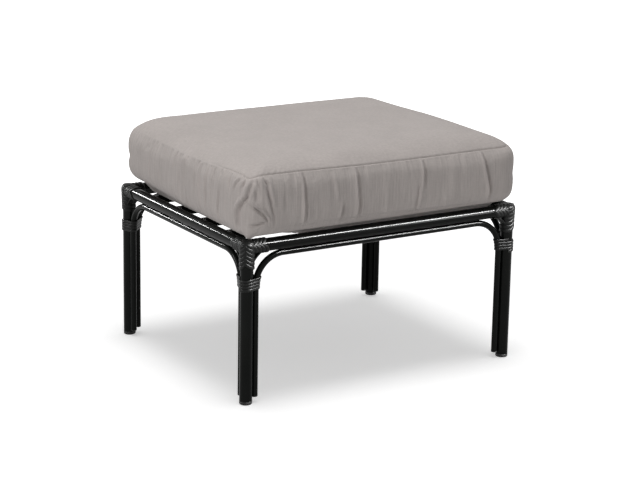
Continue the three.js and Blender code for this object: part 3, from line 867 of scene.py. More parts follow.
    def build(self, finishes: Finishes) -> None:
        """Make every tube, slat, weld, glide and plug."""
        plan, coat, plastic = self.plan, finishes.powder_coat, finishes.black_plastic
        for corner in Corner:
            label = corner.label
            leg = self.leg().placed(0.0, corner.place(plan))
            fit(leg, "leg_tube_" + label, coat, "frame", "leg_" + label)
            glide = self.foot("leg_glide_" + label, self.glide_edge)
            fit(glide, "glide_" + label, plastic, "frame", "leg_glide_" + label)
            for way in ("long", "side"):
                node = f"hoop_plug_{label}_{way}"
                fit(self.foot(node, self.plug_edge), f"plug_{label}_{way}", plastic, "frame", node)
        sides = {"front": (0, -1), "back": (0, 1), "left": (-1, 0), "right": (1, 0)}
        for side, (x, y) in sides.items():
            along_x = x == 0
            half_length = plan.half_x if along_x else plan.half_y
            place = (x * plan.half_x, y * plan.half_y)
            rail = self.rail(half_length, along_x).placed(0.0, (*place, plan.rail_axis))
            fit(rail, "rail_tube_" + side, coat, "frame", "rail_" + side)
            hoop = self.hoop(half_length, along_x).placed(0.0, (*place, 0.0))
            fit(hoop, "hoop_tube_" + side, coat, "frame", "hoop_" + side)
        for number in range(1, 5):
            node = f"slat_{number}"
            fit(self.slat(node), f"slat_bar_{number}", coat, "frame", node)
            for side, name in ((-1, "left"), (1, "right")):
                fit(self.weld_bead(node, side), f"weld_{name}_{number}", coat, "frame")


@dataclass(frozen=True)
class LashedCorner:
    """Straps crossed in a herringbone over a leg's top and the two rails that it carries.

    The corner is worked out for the front left leg, with its rails along +X and +Y and the origin on
    the leg's axis at the rails' height, and turned for the other three.
    """

    plan: FramePlan
    pitch: float = 0.0082
    rise: float = 0.0015
    bed: float = 0.0006
    joint_gap: float = 0.0003
    lean_reach: float = 0.0105
    spine_overlap: float = 0.0030
    spine_lift: float = math.radians(22.0)
    join_shift: float = 0.25
    leg_drop: float = 0.036
    rail_reach: float = 0.034
    knob_radius: float = 0.0163
    knob_height: float = 0.0035
    columns: int = 132
    rows_per_strap: int = 11
    dome_rows: int = 40
    pole_gap: float = 0.0004
    pole_share: float = 0.02
    web_straps: int = 3
    web_pitch: float = 0.0062
    web_sink: float = 0.0012
    web_strap: Pair = (0.0068, 0.0032)
    web_bend: float = 0.42
    web_bury: float = 0.004
    web_reach: float = 0.012
    web_drop: float = 0.012

    @property
    def bore(self) -> float:
        """Radius of the hole that a tube passes through."""
        return self.plan.main_radius + self.joint_gap

    @property
    def girth(self) -> float:
        """Distance round an arm."""
        return 2 * np.pi * (self.bore + self.bed)

    @property
    def around(self) -> Array:
        """Distance round an arm from its spine for each column, negative on the left."""
        return np.linspace(-self.girth / 2, self.girth / 2, self.columns, endpoint=False)

    def strap_profile(self, count: Array) -> Array:
        """Height of a strap across its width: (1 - |2u - 1|^2.6)^0.55, tilted like a shingle."""
        across = count - np.floor(count)
        return (1 - np.abs(2 * across - 1) ** 2.6) ** 0.55 * (0.84 + 0.16 * across)

    def relief(self, along: Array, way: int) -> Array:
        """Height of straps that cross in a V, 0 in the grooves and 1 on the crests.

        A strap on the right of the spine is a line along = count * pitch + reach tanh(around /
        reach), and the left ones mirror it, half a strap later. Both fade a little past the spine,
        and where they cross, the higher one shows. Round the back they meet in plain turns.

        Args:
            along: Distance along the arm from the corner, of shape (rows, columns).
            way: 1 where the V's point to the corner, and -1 where they point away from it.

        Returns:
            The heights.
        """
        around = self.around
        lean = way * self.lean_reach * np.tanh(around / self.lean_reach)
        closing = self.join_shift * (1 - np.abs(around) / (self.girth / 2))
        right = self.strap_profile((along - lean) / self.pitch + closing)
        left = self.strap_profile((along + lean) / self.pitch - closing)
        right *= smoothstep(around, -self.spine_overlap, self.spine_overlap * 0.1)
        left *= smoothstep(-around, -self.spine_overlap, self.spine_overlap * 0.1)
        return np.maximum(right, left)

    def strap_rows(self, count: int, start: Array, way: int) -> Array:
        """Distances along an arm whose rows follow the straps and start at a given line.

        Args:
            count: How many straps the arm has at its spine.
            start: Where each column starts.
            way: 1 where the V's point to the corner, and -1 where they point away from it.

        Returns:
            Distances of shape (rows, columns).
        """
        share = np.linspace(0.0, 1.0, count * self.rows_per_strap + 1)[:, None]
        around = self.around
        lean = way * self.lean_reach * np.tanh(np.abs(around) / self.lean_reach)
        closing = self.join_shift * (1 - np.abs(around) / (self.girth / 2)) * np.tanh(around / 0.002)
        lines = share * count * self.pitch + lean - closing * self.pitch
        return lines + (start - lines[:1]) * (1 - share) ** 6

    def arm(self, profile: Array, along: Array, spine: float, way: int) -> tuple[Array, Array]:
        """Rings of one arm round the Z axis, outer skin and bore, and its pattern coordinates.

        A point is the profile's at its distance along, moved out along the profile's normal by the
        bed and the relief, and turned to the spine's angle plus around / radius.

        Args:
            profile: The arm's (radius, height) points, from the corner to its free end.
            along: Distances along the profile, of shape (rows, columns).
            spine: The angle at which the V's point.
            way: 1 where they point to the corner, and -1 where they point away from it.

        Returns:
            Rings of shape (2 rows, columns, 3) and pattern of shape (2 rows, columns + 1, 2).
        """
        steps = np.linalg.norm(np.diff(profile, axis=0), axis=1)
        reach = np.concatenate([[0.0], np.cumsum(steps)])
        tangent = np.gradient(profile, reach, axis=0)
        normal = unit(stacked(-tangent[:, 1], tangent[:, 0]))
        radius, height, out_r, out_z = (
            np.interp(along, reach, column) for column in (*profile.T, *normal.T)
        )
        ends = smoothstep(along, 0.0, 0.006)
        lip = smoothstep(np.arange(len(along))[::-1, None], 0, 2)
        lift = (self.bed + self.rise * self.relief(along, way) * ends) * lip
        radius, height = radius + out_r * lift, height + out_z * lift
        around = self.around
        angle = spine + around / self.girth * 2 * np.pi
        outer = stacked(radius * np.cos(angle), radius * np.sin(angle), height)
        edge = np.interp(along, reach, profile[:, 1])
        inner = stacked(self.bore * np.cos(angle), self.bore * np.sin(angle), edge)[::-1]
        pattern = stacked(np.append(around, -around[:1]), closed_round(along))
        return np.concatenate([outer, inner]), np.concatenate([pattern, pattern[::-1]])

    def leg_arm(self) -> Surface:
        """The arm down the leg, closed over the top by a low dome.

        The dome's points are (knob sin^0.9 a, height cos^0.8 a). Below it the radius goes over to
        the leg's with (1 - t)^3.2 of the way down.
        """
        bore = self.bore
        turn = np.linspace(0.0, np.pi / 2, self.dome_rows)
        knob = self.knob_radius - self.bed - self.rise
        dome = stacked(
            knob * np.sin(turn) ** 0.9,
            self.knob_height + (bore - self.knob_height) * np.cos(turn) ** 0.8,
        )
        fall = np.linspace(0.0, 1.0, 2 * self.dome_rows)[1:]
        length = self.knob_height + self.leg_drop + 0.030
        shaft = stacked(
            bore + (knob - bore) * (1 - fall) ** 3.2,
            self.knob_height - length * fall,
        )
        profile = np.concatenate([dome, shaft])
        dome_length = float(np.sum(np.linalg.norm(np.diff(dome, axis=0), axis=1)))
        count = round((dome_length + self.knob_height + self.leg_drop) / self.pitch)
        along = self.strap_rows(count, np.full(self.columns, self.pole_gap), 1)
        rings, pattern = self.arm(profile, along, math.radians(225.0), 1)
        inner = rings[len(along):]
        inner[..., 2] = np.minimum(inner[..., 2], bore - self.joint_gap / 2)
        closing = inner[-1:] * (self.pole_share, self.pole_share, 1.0)
        rings = np.concatenate([rings, closing])
        pattern = np.concatenate([pattern, pattern[-1:]])
        return Surface().add_rings(rings, pattern=pattern)

    def rail_arm(self, way: int) -> Surface:
        """The arm along a rail, made along +X with its V's on the front.

        It starts at the line where the rail's skin leaves the leg, sqrt(R^2 - y^2) from its axis.

        Args:
            way: 1 where the V's point to the corner, and -1 where they point away from it.

        Returns:
            The arm.
        """
        radius = self.bore
        spine = np.pi + self.spine_lift
        side = radius * np.cos(spine + self.around / self.girth * 2 * np.pi)
        start = np.sqrt(np.maximum(radius ** 2 - side ** 2, 0.0)) + 0.001
        count = round(self.rail_reach / self.pitch)
        along = self.strap_rows(count, start, way)
        if way < 0:
            along = along + self.lean_reach * np.linspace(0.0, 1.0, len(along))[:, None]
        profile = stacked(radius, np.linspace(0.0, 0.12, 60))
        rings, pattern = self.arm(profile, along, spine, way)
        rows = len(along)
        rings[:rows] = self.kept_outside(rings[:rows], radius)
        turned = stacked(rings[..., 2], rings[..., 0], -rings[..., 1])
        return Surface().add_rings(turned, loop=True, pattern=pattern)

    @staticmethod
    def kept_outside(rings: Array, radius: float) -> Array:
        """Mirror the points that lie inside a radius to the outside of it."""
        own = np.linalg.norm(rings[..., :2], axis=-1, keepdims=True)
        scale = np.where(own < radius, (2 * radius - own) / own, 1.0)
        return rings * np.concatenate([scale, scale, np.ones_like(scale)], -1)

    def web(self) -> Surface:
        """Straps that pass over the angle between the leg and the rail along +X.

        The middle line runs from inside the leg's arm to inside the rail's arm along a curve
        (1-t)^2 a + 2t(1-t) b + t^2 c, and the straps lie side by side across it.
        """
        bore, reach, drop = self.bore, self.web_reach, self.web_drop
        share = np.linspace(0.0, 1.0, 24)[:, None]
        start = np.array([bore - 0.002, -bore - drop - self.web_bury])
        end = np.array([bore + reach + self.web_bury, -bore + 0.002])
        bend = np.array([bore + reach * self.web_bend, -bore - drop * self.web_bend])
        flat = bent_line(start, bend, end, share)
        tangent = unit(np.gradient(flat, axis=0))
        out = stacked(tangent[:, 1], -tangent[:, 0])
        section = strap_section(*self.web_strap, 16)
        skin = Surface()
        for strap in range(self.web_straps):
            side = strap - (self.web_straps - 1) / 2
            sink = self.web_sink * abs(side)
            sunk = flat - out * sink
            path = stacked(sunk[:, 0], side * self.web_pitch, sunk[:, 1])
            skin.add_rings(carried_rings(path, Y_AXIS, stacked(out[:, 0], 0.0, out[:, 1]), section))
        return skin

    @staticmethod
    def swapped(skin: Surface) -> Surface:
        """Return a skin mirrored in the line x = y, turned outwards again."""
        points = [block[:, [1, 0, 2]] for block in skin.points]
        faces = [block[:, ::-1] for block in skin.faces]
        patterns = [block[:, ::-1] for block in skin.patterns]
        return Surface(points, faces, patterns, skin.size)

    def build(self, finishes: Finishes) -> None:
        """Make the lashing of each corner as one piece."""
        web = self.web()
        whole = Surface.joined([
            self.leg_arm(), self.rail_arm(1), self.swapped(self.rail_arm(-1)), web, self.swapped(web)
        ])
        fit_corners(whole, self.plan, self.plan.rail_axis, "lashing_", finishes.resin_strap,
                    "corner_wrap_", 70.0)


@dataclass(frozen=True)
class LegBinding:
    """A flat strap wound round a leg and the two hoop uprights beside it.

    Its marks are the shares of a turn at which its arcs and straight spans start and end.
    """

    plan: FramePlan
    bend_radius: float
    turns: int = 4
    pitch: float = 0.0060
    strap_width: float = 0.0058
    strap_thickness: float = 0.0023
    turn_length: float = 0.12
    clearance: float = 0.0002
    steps: int = 108
    sides: int = 18
    marks: Values = (0.0, 0.44, 0.50, 0.72, 0.76, 0.94, 1.0)

    def loop(self, height: Array, share: Array) -> tuple[Array, Array]:
        """The taut line round the leg and hoops at a height.

        It is three arcs, round the leg and each hoop tube, joined by straight spans. Where the hoop
        bends, its tube leans away by bend radius - sqrt(bend radius^2 - rise^2), and its half width
        grows by one over the cosine of its lean.

        Args:
            height: Height of each place on the line.
            share: How far round the line each place is, from 0 to 1.

        Returns:
            Places and outward directions, each of shape (n, 2).
        """
        plan = self.plan
        rise = np.clip(height - (plan.hoop_axis - self.bend_radius), 0.0, None)
        lean = np.sqrt(self.bend_radius ** 2 - rise ** 2)
        offset = plan.hoop_inset + self.bend_radius - lean
        thin = plan.thin_radius * self.bend_radius / lean
        tilt = np.arcsin((plan.main_radius - thin) / offset)
        zero = np.zeros_like(height)
        quarter = np.full_like(height, np.pi / 4)
        arcs = [
            (zero, zero, plan.main_radius + zero, np.pi - tilt, 1.5 * np.pi + tilt),
            (offset, zero, thin, tilt - np.pi / 2, quarter),
            (zero, offset, thin, quarter, np.pi - tilt),
        ]
        places, outward = np.zeros((2, len(height), 2))
        for number, (x, y, radius, start, end) in enumerate(arcs):
            low, high, after = self.marks[2 * number:2 * number + 3]
            inside = (share >= low) & (share < high)
            angle = start + (end - start) * (share - low) / (high - low)
            place, out = self.on_arc(x, y, radius, angle)
            places[inside], outward[inside] = place[inside], out[inside]
            span = (share >= high) & (share < after)
            part = ((share - high) / (after - high))[:, None]
            place, out = self.on_arc(x, y, radius, end)
            next_place, next_out = self.on_arc(*arcs[(number + 1) % len(arcs)][:4])
            places[span] = (place + (next_place - place) * part)[span]
            outward[span] = unit(out + (next_out - out) * part)[span]
        return places, outward

    def on_arc(self, x: Array, y: Array, radius: Array, angle: Array) -> tuple[Array, Array]:
        """The strap's places and outward directions at angles round tubes at x and y."""
        out = stacked(np.cos(angle), np.sin(angle))
        seat = self.clearance + self.strap_thickness / 2
        return stacked(x, y) + (radius + seat)[:, None] * out, out

    def skin(self, bottom: float) -> Surface:
        """The strap carried up along its helix, each section on the taut line at its own height."""
        count = self.turns * self.steps + 1
        share = np.arange(count) / self.steps
        middle = bottom + self.pitch / 2 + share * self.pitch
        section = circle_section(0.5, self.sides) * (self.strap_width, self.strap_thickness)
        rings = np.zeros((count, self.sides, 3))
        for column, (width, thickness) in enumerate(section):
            height = middle + width
            place, outward = self.loop(height, share % 1.0)
            ends = np.sqrt(np.clip(np.minimum(share, self.turns - share) / 0.04, 0.05, 1.0))
            rings[:, column, :2] = place + outward * (thickness * ends)[:, None]
            rings[:, column, 2] = height
        pattern = stacked(share[:, None] * self.turn_length, np.append(section[:, 0], section[:1, 0]))
        return Surface().add_rings(rings, pattern=pattern)

    def build(self, finishes: Finishes) -> None:
        """Make the binding of each leg."""
        whole = self.skin(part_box("leg_binding_front_left")[0].z)
        fit_corners(whole, self.plan, 0.0, "binding_", finishes.resin_strap, "leg_binding_", 60.0)


@dataclass(frozen=True)
class Crease:
    """A fold in the cushion's side, as a line of places on its skin.

    Attributes:
        line: Places as (metres along the rim, height over the floor in metres).
        depth: How deep it cuts in.
        width: Half of its width.
        lip: Height of the ridge beside it, as a share of the depth.
        side: On which side the ridge lies, 1 or -1, seen along the line.
        strength: What every height is multiplied by.
    """

    line: tuple[Pair, ...]
    depth: float
    width: float
    lip: float = 0.6
    side: int = 1
    strength: float = 1.6

    def height(self, along: Array, level: Array) -> Array:
        """Height of the fold at each place.

        With d the distance from the line and w the half width, it is -depth exp(-(d/w)^2), plus
        lip depth exp(-((d - 2w)/1.3w)^2) on the ridge's side. Both fade out past the line's ends.

        Args:
            along: Metres along the rim.
            level: Height over the floor.

        Returns:
            Heights of the same shape.
        """
        best = np.full(along.shape, 1.0)
        signed = np.zeros(along.shape)
        share = np.zeros(along.shape)
        count = len(self.line) - 1
        for number, (start, end) in enumerate(zip(self.line[:-1], self.line[1:])):
            run = np.array(end) - np.array(start)
            length = float(np.hypot(*run))
            away = np.stack([along - start[0], level - start[1]], -1)
            part = np.clip(away @ run / length ** 2, 0.0, 1.0)
            gap = away - part[..., None] * run
            distance = np.hypot(gap[..., 0], gap[..., 1])
            closer = distance < best
            best = np.where(closer, distance, best)
            cross = away[..., 0] * run[1] - away[..., 1] * run[0]
            signed = np.where(closer, distance * np.sign(cross), signed)
            share = np.where(closer, (number + part) / count, share)
        fade = np.sin(np.pi * np.clip(share, 0.02, 0.98)) ** 0.5
        ridge = np.exp(-((signed * self.side - 2 * self.width) / (1.3 * self.width)) ** 2)
        groove = np.exp(-(best / self.width) ** 2)
        return self.strength * self.depth * fade * (self.lip * ridge - groove)


# Each row has a crease's line, depth and width, and its lip and side where they aren't the usual.
CREASES = tuple(Crease(*row) for row in (
    # The near corner.
    (((0.006, 0.443), (0.0, 0.415), (-0.01, 0.396), (-0.015, 0.383), (-0.015, 0.35)),
     0.0046, 0.0026, 0.8),
    (((0.002, 0.408), (0.01, 0.397), (0.02, 0.386), (0.031, 0.37), (0.036, 0.352)),
     -0.0036, 0.0019),
    (((0.004, 0.402), (0.012, 0.391), (0.022, 0.38), (0.033, 0.364), (0.037, 0.35)),
     0.003, 0.0019, 0.2),
    (((0.001, 0.363), (0.012, 0.364), (0.024, 0.368)), -0.0024, 0.0016, 0.8),
    (((0.001, 0.357), (0.012, 0.358), (0.02, 0.361)), 0.002, 0.0018, 0.1),
    (((0.033, 0.445), (0.036, 0.422), (0.043, 0.395)), -0.0022, 0.0034, 0.8),
    (((0.028, 0.432), (0.031, 0.415), (0.036, 0.392), (0.042, 0.372), (0.043, 0.352)),
     0.0019, 0.0026),
    (((0.012, 0.43), (0.012, 0.405)), 0.0028, 0.0042, 0.3),
    (((-0.014, 0.447), (-0.022, 0.434), (-0.026, 0.42)), 0.0022, 0.0018),
    (((-0.004, 0.447), (-0.008, 0.43)), 0.0022, 0.0016),
    (((0.013, 0.447), (0.016, 0.431)), 0.0022, 0.0016, 0.6, -1),
    (((0.022, 0.447), (0.031, 0.436)), 0.0018, 0.0016, 0.6, -1),
    # The front.
    (((0.066, 0.412), (0.068, 0.38)), 0.0012, 0.0042),
    (((0.11, 0.447), (0.111, 0.416), (0.113, 0.385), (0.113, 0.345)), 0.003, 0.0024, 0.8),
    (((0.12, 0.388), (0.119, 0.348)), -0.0012, 0.0022),
    (((0.178, 0.446), (0.181, 0.423), (0.186, 0.39)), -0.0014, 0.004),
    (((0.201, 0.38), (0.196, 0.342)), 0.0027, 0.0024, 0.6),
    (((0.232, 0.447), (0.233, 0.418), (0.237, 0.381), (0.237, 0.342)), 0.0034, 0.0024, 0.8),
    (((0.244, 0.385), (0.244, 0.345)), -0.0013, 0.0022),
    (((0.388, 0.446), (0.388, 0.416), (0.388, 0.388)), 0.0031, 0.0026, 0.8),
    (((0.376, 0.398), (0.373, 0.366), (0.372, 0.342)), 0.0028, 0.0025, 0.7, -1),
    (((0.3, 0.445), (0.302, 0.345)), -0.0009, 0.009),
    (((0.455, 0.446), (0.457, 0.345)), -0.0011, 0.011),
    (((0.437, 0.372), (0.442, 0.342)), -0.001, 0.0032),
    (((0.53, 0.447), (0.533, 0.417), (0.541, 0.387), (0.545, 0.366), (0.545, 0.342)),
     0.0038, 0.0028, 0.8),
    (((0.06, 0.349), (0.103, 0.347), (0.193, 0.346), (0.309, 0.344), (0.424, 0.34),
     (0.52, 0.341)), 0.001, 0.0036, 0.6, -1),
    # The left side.
    (((-0.425, 0.436), (-0.43, 0.355)), 0.0018, 0.0034, 0.3, -1),
    (((-0.387, 0.436), (-0.387, 0.35)), 0.0017, 0.0034),
    (((-0.344, 0.425), (-0.347, 0.355)), 0.0018, 0.0034, 0.6, -1),
    (((-0.283, 0.446), (-0.285, 0.4)), 0.0026, 0.0028, 0.6, -1),
    (((-0.262, 0.425), (-0.264, 0.35)), 0.0018, 0.003),
    (((-0.239, 0.444), (-0.241, 0.375)), 0.0019, 0.0032),
    (((-0.196, 0.44), (-0.193, 0.352)), 0.0024, 0.0026, 0.6, -1),
    (((-0.172, 0.438), (-0.17, 0.345)), 0.002, 0.0026),
    (((-0.143, 0.445), (-0.143, 0.345)), 0.0024, 0.003),
    (((-0.113, 0.446), (-0.121, 0.38)), 0.0022, 0.0024, 0.6, -1),
    (((-0.08, 0.442), (-0.085, 0.389), (-0.093, 0.342)), 0.0024, 0.0026),
    (((-0.05, 0.446), (-0.038, 0.412)), 0.0018, 0.003),
    (((-0.42, 0.352), (-0.403, 0.341), (-0.38, 0.339)), 0.0016, 0.003),
))


@dataclass(frozen=True)
class BoxCushion:
    """The loose cushion: a crowned top, gathered sides, a bottom sagging onto the slats and a zip.

    Its skin is one sleeve of rows and columns, from inside the bottom's rim up the sides to inside
    the top's rim, with a woven grid filled into each end. A column is named by its span, from 0 to 4
    round the rim: side 0 is the front from left to right, and the others follow anticlockwise. A row
    is named by its level: -1 to 0 in the bottom, 0 to 1 up the side and 1 to 2 in the top.

    A field of eight values has one for each corner and each side's middle, anticlockwise from the
    front left corner. seam_out and seam_lift move the top's seam, and base_lift the bottom's.
    fullness, shoulder, tuck and toe shape the side. crinkle is the share of the cloth's own wrinkles
    that stays, and fold_share and seam_bite scale the folds and the seams' grooves.
    """

    plan: FramePlan
    half_x: float = 0.308
    half_y: float = 0.258
    corner_radius: float = 0.032
    base: float = 0.3297
    seam: float = 0.448
    crown: float = 0.028
    crown_power: float = 10.0
    roll_height: float = 0.0006
    slat_sag: float = 0.002
    draw_in: float = 0.0015
    seam_out: Values = (0.002, 0.001, 0.0, 0.006, 0.001, 0.003, -0.008, -0.003)
    seam_lift: Values = (0.0052, 0.0, 0.001, 0.002, -0.009, 0.001, 0.001, -0.004)
    peak_width: float = 0.011
    peak_out: float = 0.005
    peak_dip: float = 0.0048
    peak_drip: float = 0.006
    margin: float = 0.2
    fullness: Values = (0.0125, 0.008, 0.015, 0.01, 0.01, 0.006, 0.0055, 0.004)
    shoulder: Values = (8.0, 8.0, 6.0, 7.0, 6.0, 6.0, 4.5, 6.0)
    tuck: Values = (0.013, 0.014, 0.018, 0.017, 0.019, 0.019, 0.036, 0.0165)
    toe: Values = (8.0, 8.0, 6.0, 8.0, 8.0, 8.0, 4.0, 8.0)
    base_lift: Values = (0.005, 0.002, 0.0055, 0.002, 0.003, 0.002, 0.0035, 0.0012)
    columns_x: int = 340
    columns_y: int = 260
    column_pull: float = 0.35
    side_rows: int = 64
    row_pull: float = 0.62
    margin_rows: int = 12
    pattern_height: float = 0.135
    slack: float = 0.005
    pressure: float = 4.0
    movement_cap: float = 0.0035
    top_share: float = 0.2
    crinkle: Values = (0.9, 0.1, 0.2, 0.7, 1.0, 1.0, 1.0, 1.0)
    settle_frames: int = 20
    zip_half: float = 0.21
    fold_seed: int = 7
    gather_count: int = 300
    gather_lean: float = 0.006
    gather_width: Pair = (0.0024, 0.0075)
    gather_depth: Pair = (0.0004, 0.0017)
    gather_reach: Pair = (0.35, 1.05)
    hanging_share: float = 0.62
    fold_share: Values = (1.0, 1.0, 1.0, 1.0, 1.0, 1.0, 0.3, 1.0)
    front_calm: float = 0.35
    left_tight: float = 0.55
    left_depth: float = 1.5
    seam_depth: float = 0.0022
    seam_bite: Values = (1.0, 1.0, 1.0, 1.0, 1.0, 0.9, 0.3, 0.2)
    seam_width: float = 0.0013
    pucker_pitch: float = 0.0113
    pucker_height: float = 0.00055
    pucker_reach: float = 0.009
    creases: tuple[Crease, ...] = CREASES

    def side_lengths(self) -> Array:
        """Length of the rim that belongs to each side, with half of each corner's arc."""
        arc = self.corner_radius * np.pi / 2
        long_side = 2 * (self.half_x - self.corner_radius) + arc
        short_side = 2 * (self.half_y - self.corner_radius) + arc
        return np.array([long_side, short_side, long_side, short_side])

    def along(self, span: Array) -> Array:
        """Metres along the rim from the front left corner at each span."""
        starts = np.concatenate([[0.0], np.cumsum(self.side_lengths())])
        return np.interp(span, np.arange(5), starts)

    def outline(self, span: Array) -> tuple[Array, Array, Array]:
        """The rim seen from above, without fullness.

        Returns:
            Places and outward directions of shape (n, 2), and the bow, which is sin(pi t) along the
            straight part of each side and 0 round the corners.
        """
        side = np.floor(span).astype(int) % 4
        turn = side * np.pi / 2
        half_run = np.where(side % 2 == 0, self.half_x, self.half_y)
        half_gap = np.where(side % 2 == 0, self.half_y, self.half_x)
        radius = self.corner_radius
        flat = half_run - radius
        distance = (span - np.floor(span) - 0.5) * 2 * (flat + radius * np.pi / 4)
        over = np.clip(np.abs(distance) - flat, 0.0, None) / radius * np.sign(distance)
        straight = np.clip(distance, -flat, flat)
        along = straight + radius * np.sin(over)
        away = half_gap - radius + radius * np.cos(over)
        facing = turn - np.pi / 2 + over
        places = stacked(
            along * np.cos(turn) + away * np.sin(turn),
            along * np.sin(turn) - away * np.cos(turn),
        )
        return places, stacked(np.cos(facing), np.sin(facing)), np.cos(np.pi / 2 * straight / flat)

    def spans(self, columns_x: int, columns_y: int) -> Array:
        """Spans of the columns, with columns_x on each long side and columns_y on each short one.

        They are closer at the corners: a column's span is t - pull sin(2 pi t) / (2 pi).
        """
        spans = []
        for side, count in enumerate((columns_x, columns_y, columns_x, columns_y)):
            even = np.arange(count) / count
            spans.append(side + even - self.column_pull * np.sin(2 * np.pi * even) / (2 * np.pi))
        return np.concatenate(spans)

    def nearest(self, span: Array) -> Array:
        """Metres along the rim from the front left corner, negative on its left side."""
        girth = float(np.sum(self.side_lengths()))
        return (self.along(span) + girth / 2) % girth - girth / 2

    def peak(self, span: Array) -> Array:
        """The front left corner's pointed edge, as exp(-(d/w)^2) of the distance from the corner."""
        return np.exp(-(self.nearest(span) / self.peak_width) ** 2)

    @staticmethod
    def around(values: Values, span: Array) -> Array:
        """Read eight values, given at the corners and the sides' middles, at each span."""
        table = np.array(values)[None, :, None]
        return resampled(np.repeat(table, 2, 0), np.zeros(1), span * 2)[0, :, 0]

    def side_out(self, level: Array, span: Array, bow: Array) -> Array:
        """How far the side stands out of the outline.

        With e = |2 level - 1|, it is the fullness less e^shoulder of what brings it in to the seam
        above the middle, or e^toe of the tuck below it, less the draw-in between corners.
        """
        end = np.abs(2 * level - 1)
        full = self.around(self.fullness, span)
        upper = (full - self.around(self.seam_out, span)) * end ** self.around(self.shoulder, span)
        lower = self.around(self.tuck, span) * end ** self.around(self.toe, span)
        point = self.peak_out * self.peak(span)
        return full - np.where(level > 0.5, upper, lower) - self.draw_in * bow + point

    def rim_share(self, places: Array) -> Array:
        """Share of the way from the middle to the top's rim: 1 on the rim.

        Along the straight sides it is |x| / a or |y| / b, whichever is more, and towards a corner it
        is 1 / q, where q scales the place onto the corner's arc.
        """
        x, y = np.abs(places[..., 0]), np.abs(places[..., 1])
        radius = self.corner_radius
        flat_x, flat_y = self.half_x - self.corner_radius, self.half_y - self.corner_radius
        bow_x = np.cos(np.pi / 2 * np.clip(x / flat_x, 0, 1))
        bow_y = np.cos(np.pi / 2 * np.clip(y / flat_y, 0, 1))
        share = np.maximum(
            x / (self.half_x - self.draw_in * bow_y),
            y / (self.half_y - self.draw_in * bow_x),
        )
        square = np.maximum(x ** 2 + y ** 2, 1e-9)
        dot = x * flat_x + y * flat_y
        rest = flat_x ** 2 + flat_y ** 2 - radius ** 2
        scale = (dot + np.sqrt(np.maximum(dot ** 2 - square * rest, 0.0))) / square
        cornered = (x * scale > flat_x) & (y * scale > flat_y)
        return np.where(cornered, 1 / scale, share)

    def top_height(self, places: Array, rim: Array | float = 1.0) -> Array:
        """Height of the top: seam + crown (1 - share^power), with faint rolls from the filling.

        Args:
            places: Places seen from above.
            rim: What the share is divided by, so that the rim has a share of 1.

        Returns:
            The heights.
        """
        share = self.rim_share(places) / rim
        x, y = places[..., 0], places[..., 1]
        rolls = np.sin(x * 21 + 1.3 + 2 * np.sin(y * 11)) * np.sin(y * 17 + 0.4 + 1.5 * np.sin(x * 9))
        crown = self.crown * (1 - share ** self.crown_power)
        return self.seam + crown + self.roll_height * rolls * (1 - share ** 4)

    def bottom_height(self, places: Array, rim_height: Array | float) -> Array:
        """Height of the bottom: over the rails it keeps the rim's height, and inside them it sags.

        The sag is the product of two smooth steps inwards from the rails' axes. The one from the
        long rails is short, and longer towards the left corners. Between the slats it goes deeper.
        """
        inside_x = self.plan.half_x - np.abs(places[..., 0])
        inside_y = self.plan.half_y - np.abs(places[..., 1])
        run = 0.027 + 0.042 * smoothstep(self.plan.half_x + places[..., 0], 0.15, 0.09)
        sag = smoothstep(inside_x, 0.004, 0.042) * smoothstep(inside_y, 0.004, run)
        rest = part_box("slat_1")[1].z + 0.0008
        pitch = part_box("slat_2")[0].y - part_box("slat_1")[0].y
        between = np.clip(np.cos(2 * np.pi * places[..., 1] / pitch), 0.0, None) ** 2
        middle = smoothstep(inside_x, 0.03, 0.09) * smoothstep(inside_y, 0.03, 0.09)
        return rim_height + (rest - rim_height) * sag - self.slat_sag * between * middle

    def sleeve(self, levels: Array, span: Array) -> Array:
        """The skin's places at each level and span, of shape (levels, spans, 3)."""
        places, outward, bow = self.outline(span)
        side_level = np.clip(levels, 0.0, 1.0)[:, None]
        out = self.side_out(side_level, span, bow)
        inset = 1 - self.margin * np.clip(np.maximum(-levels, levels - 1), 0.0, 1.0)[:, None, None]
        plan = (places + outward * out[..., None]) * inset
        peak = self.peak(span)
        low = self.base + self.around(self.base_lift, span) - self.peak_drip * peak ** 3
        raised = self.around(self.seam_lift, span) - self.peak_dip * peak
        height = low + (self.seam + raised - low) * side_level
        below, above = levels < 0, levels > 1
        height[below] = self.bottom_height(plan[below], low[None])
        settle = smoothstep(-levels[above], -2.0, -1.0)[:, None]
        seam_out = self.around(self.seam_out, span) + self.peak_out * peak - self.draw_in * bow
        rim = self.rim_share(places + outward * seam_out[:, None])
        height[above] = self.top_height(plan[above], rim ** settle) + raised * settle
        return np.concatenate([plan, height[..., None]], -1)

    @staticmethod
    def normals(grid: Array) -> Array:
        """Outward directions of a sleeve of shape (rows, columns, 3), from its own slopes."""
        across = np.roll(grid, -1, 1) - np.roll(grid, 1, 1)
        return unit(np.cross(across, np.gradient(grid, axis=0)))

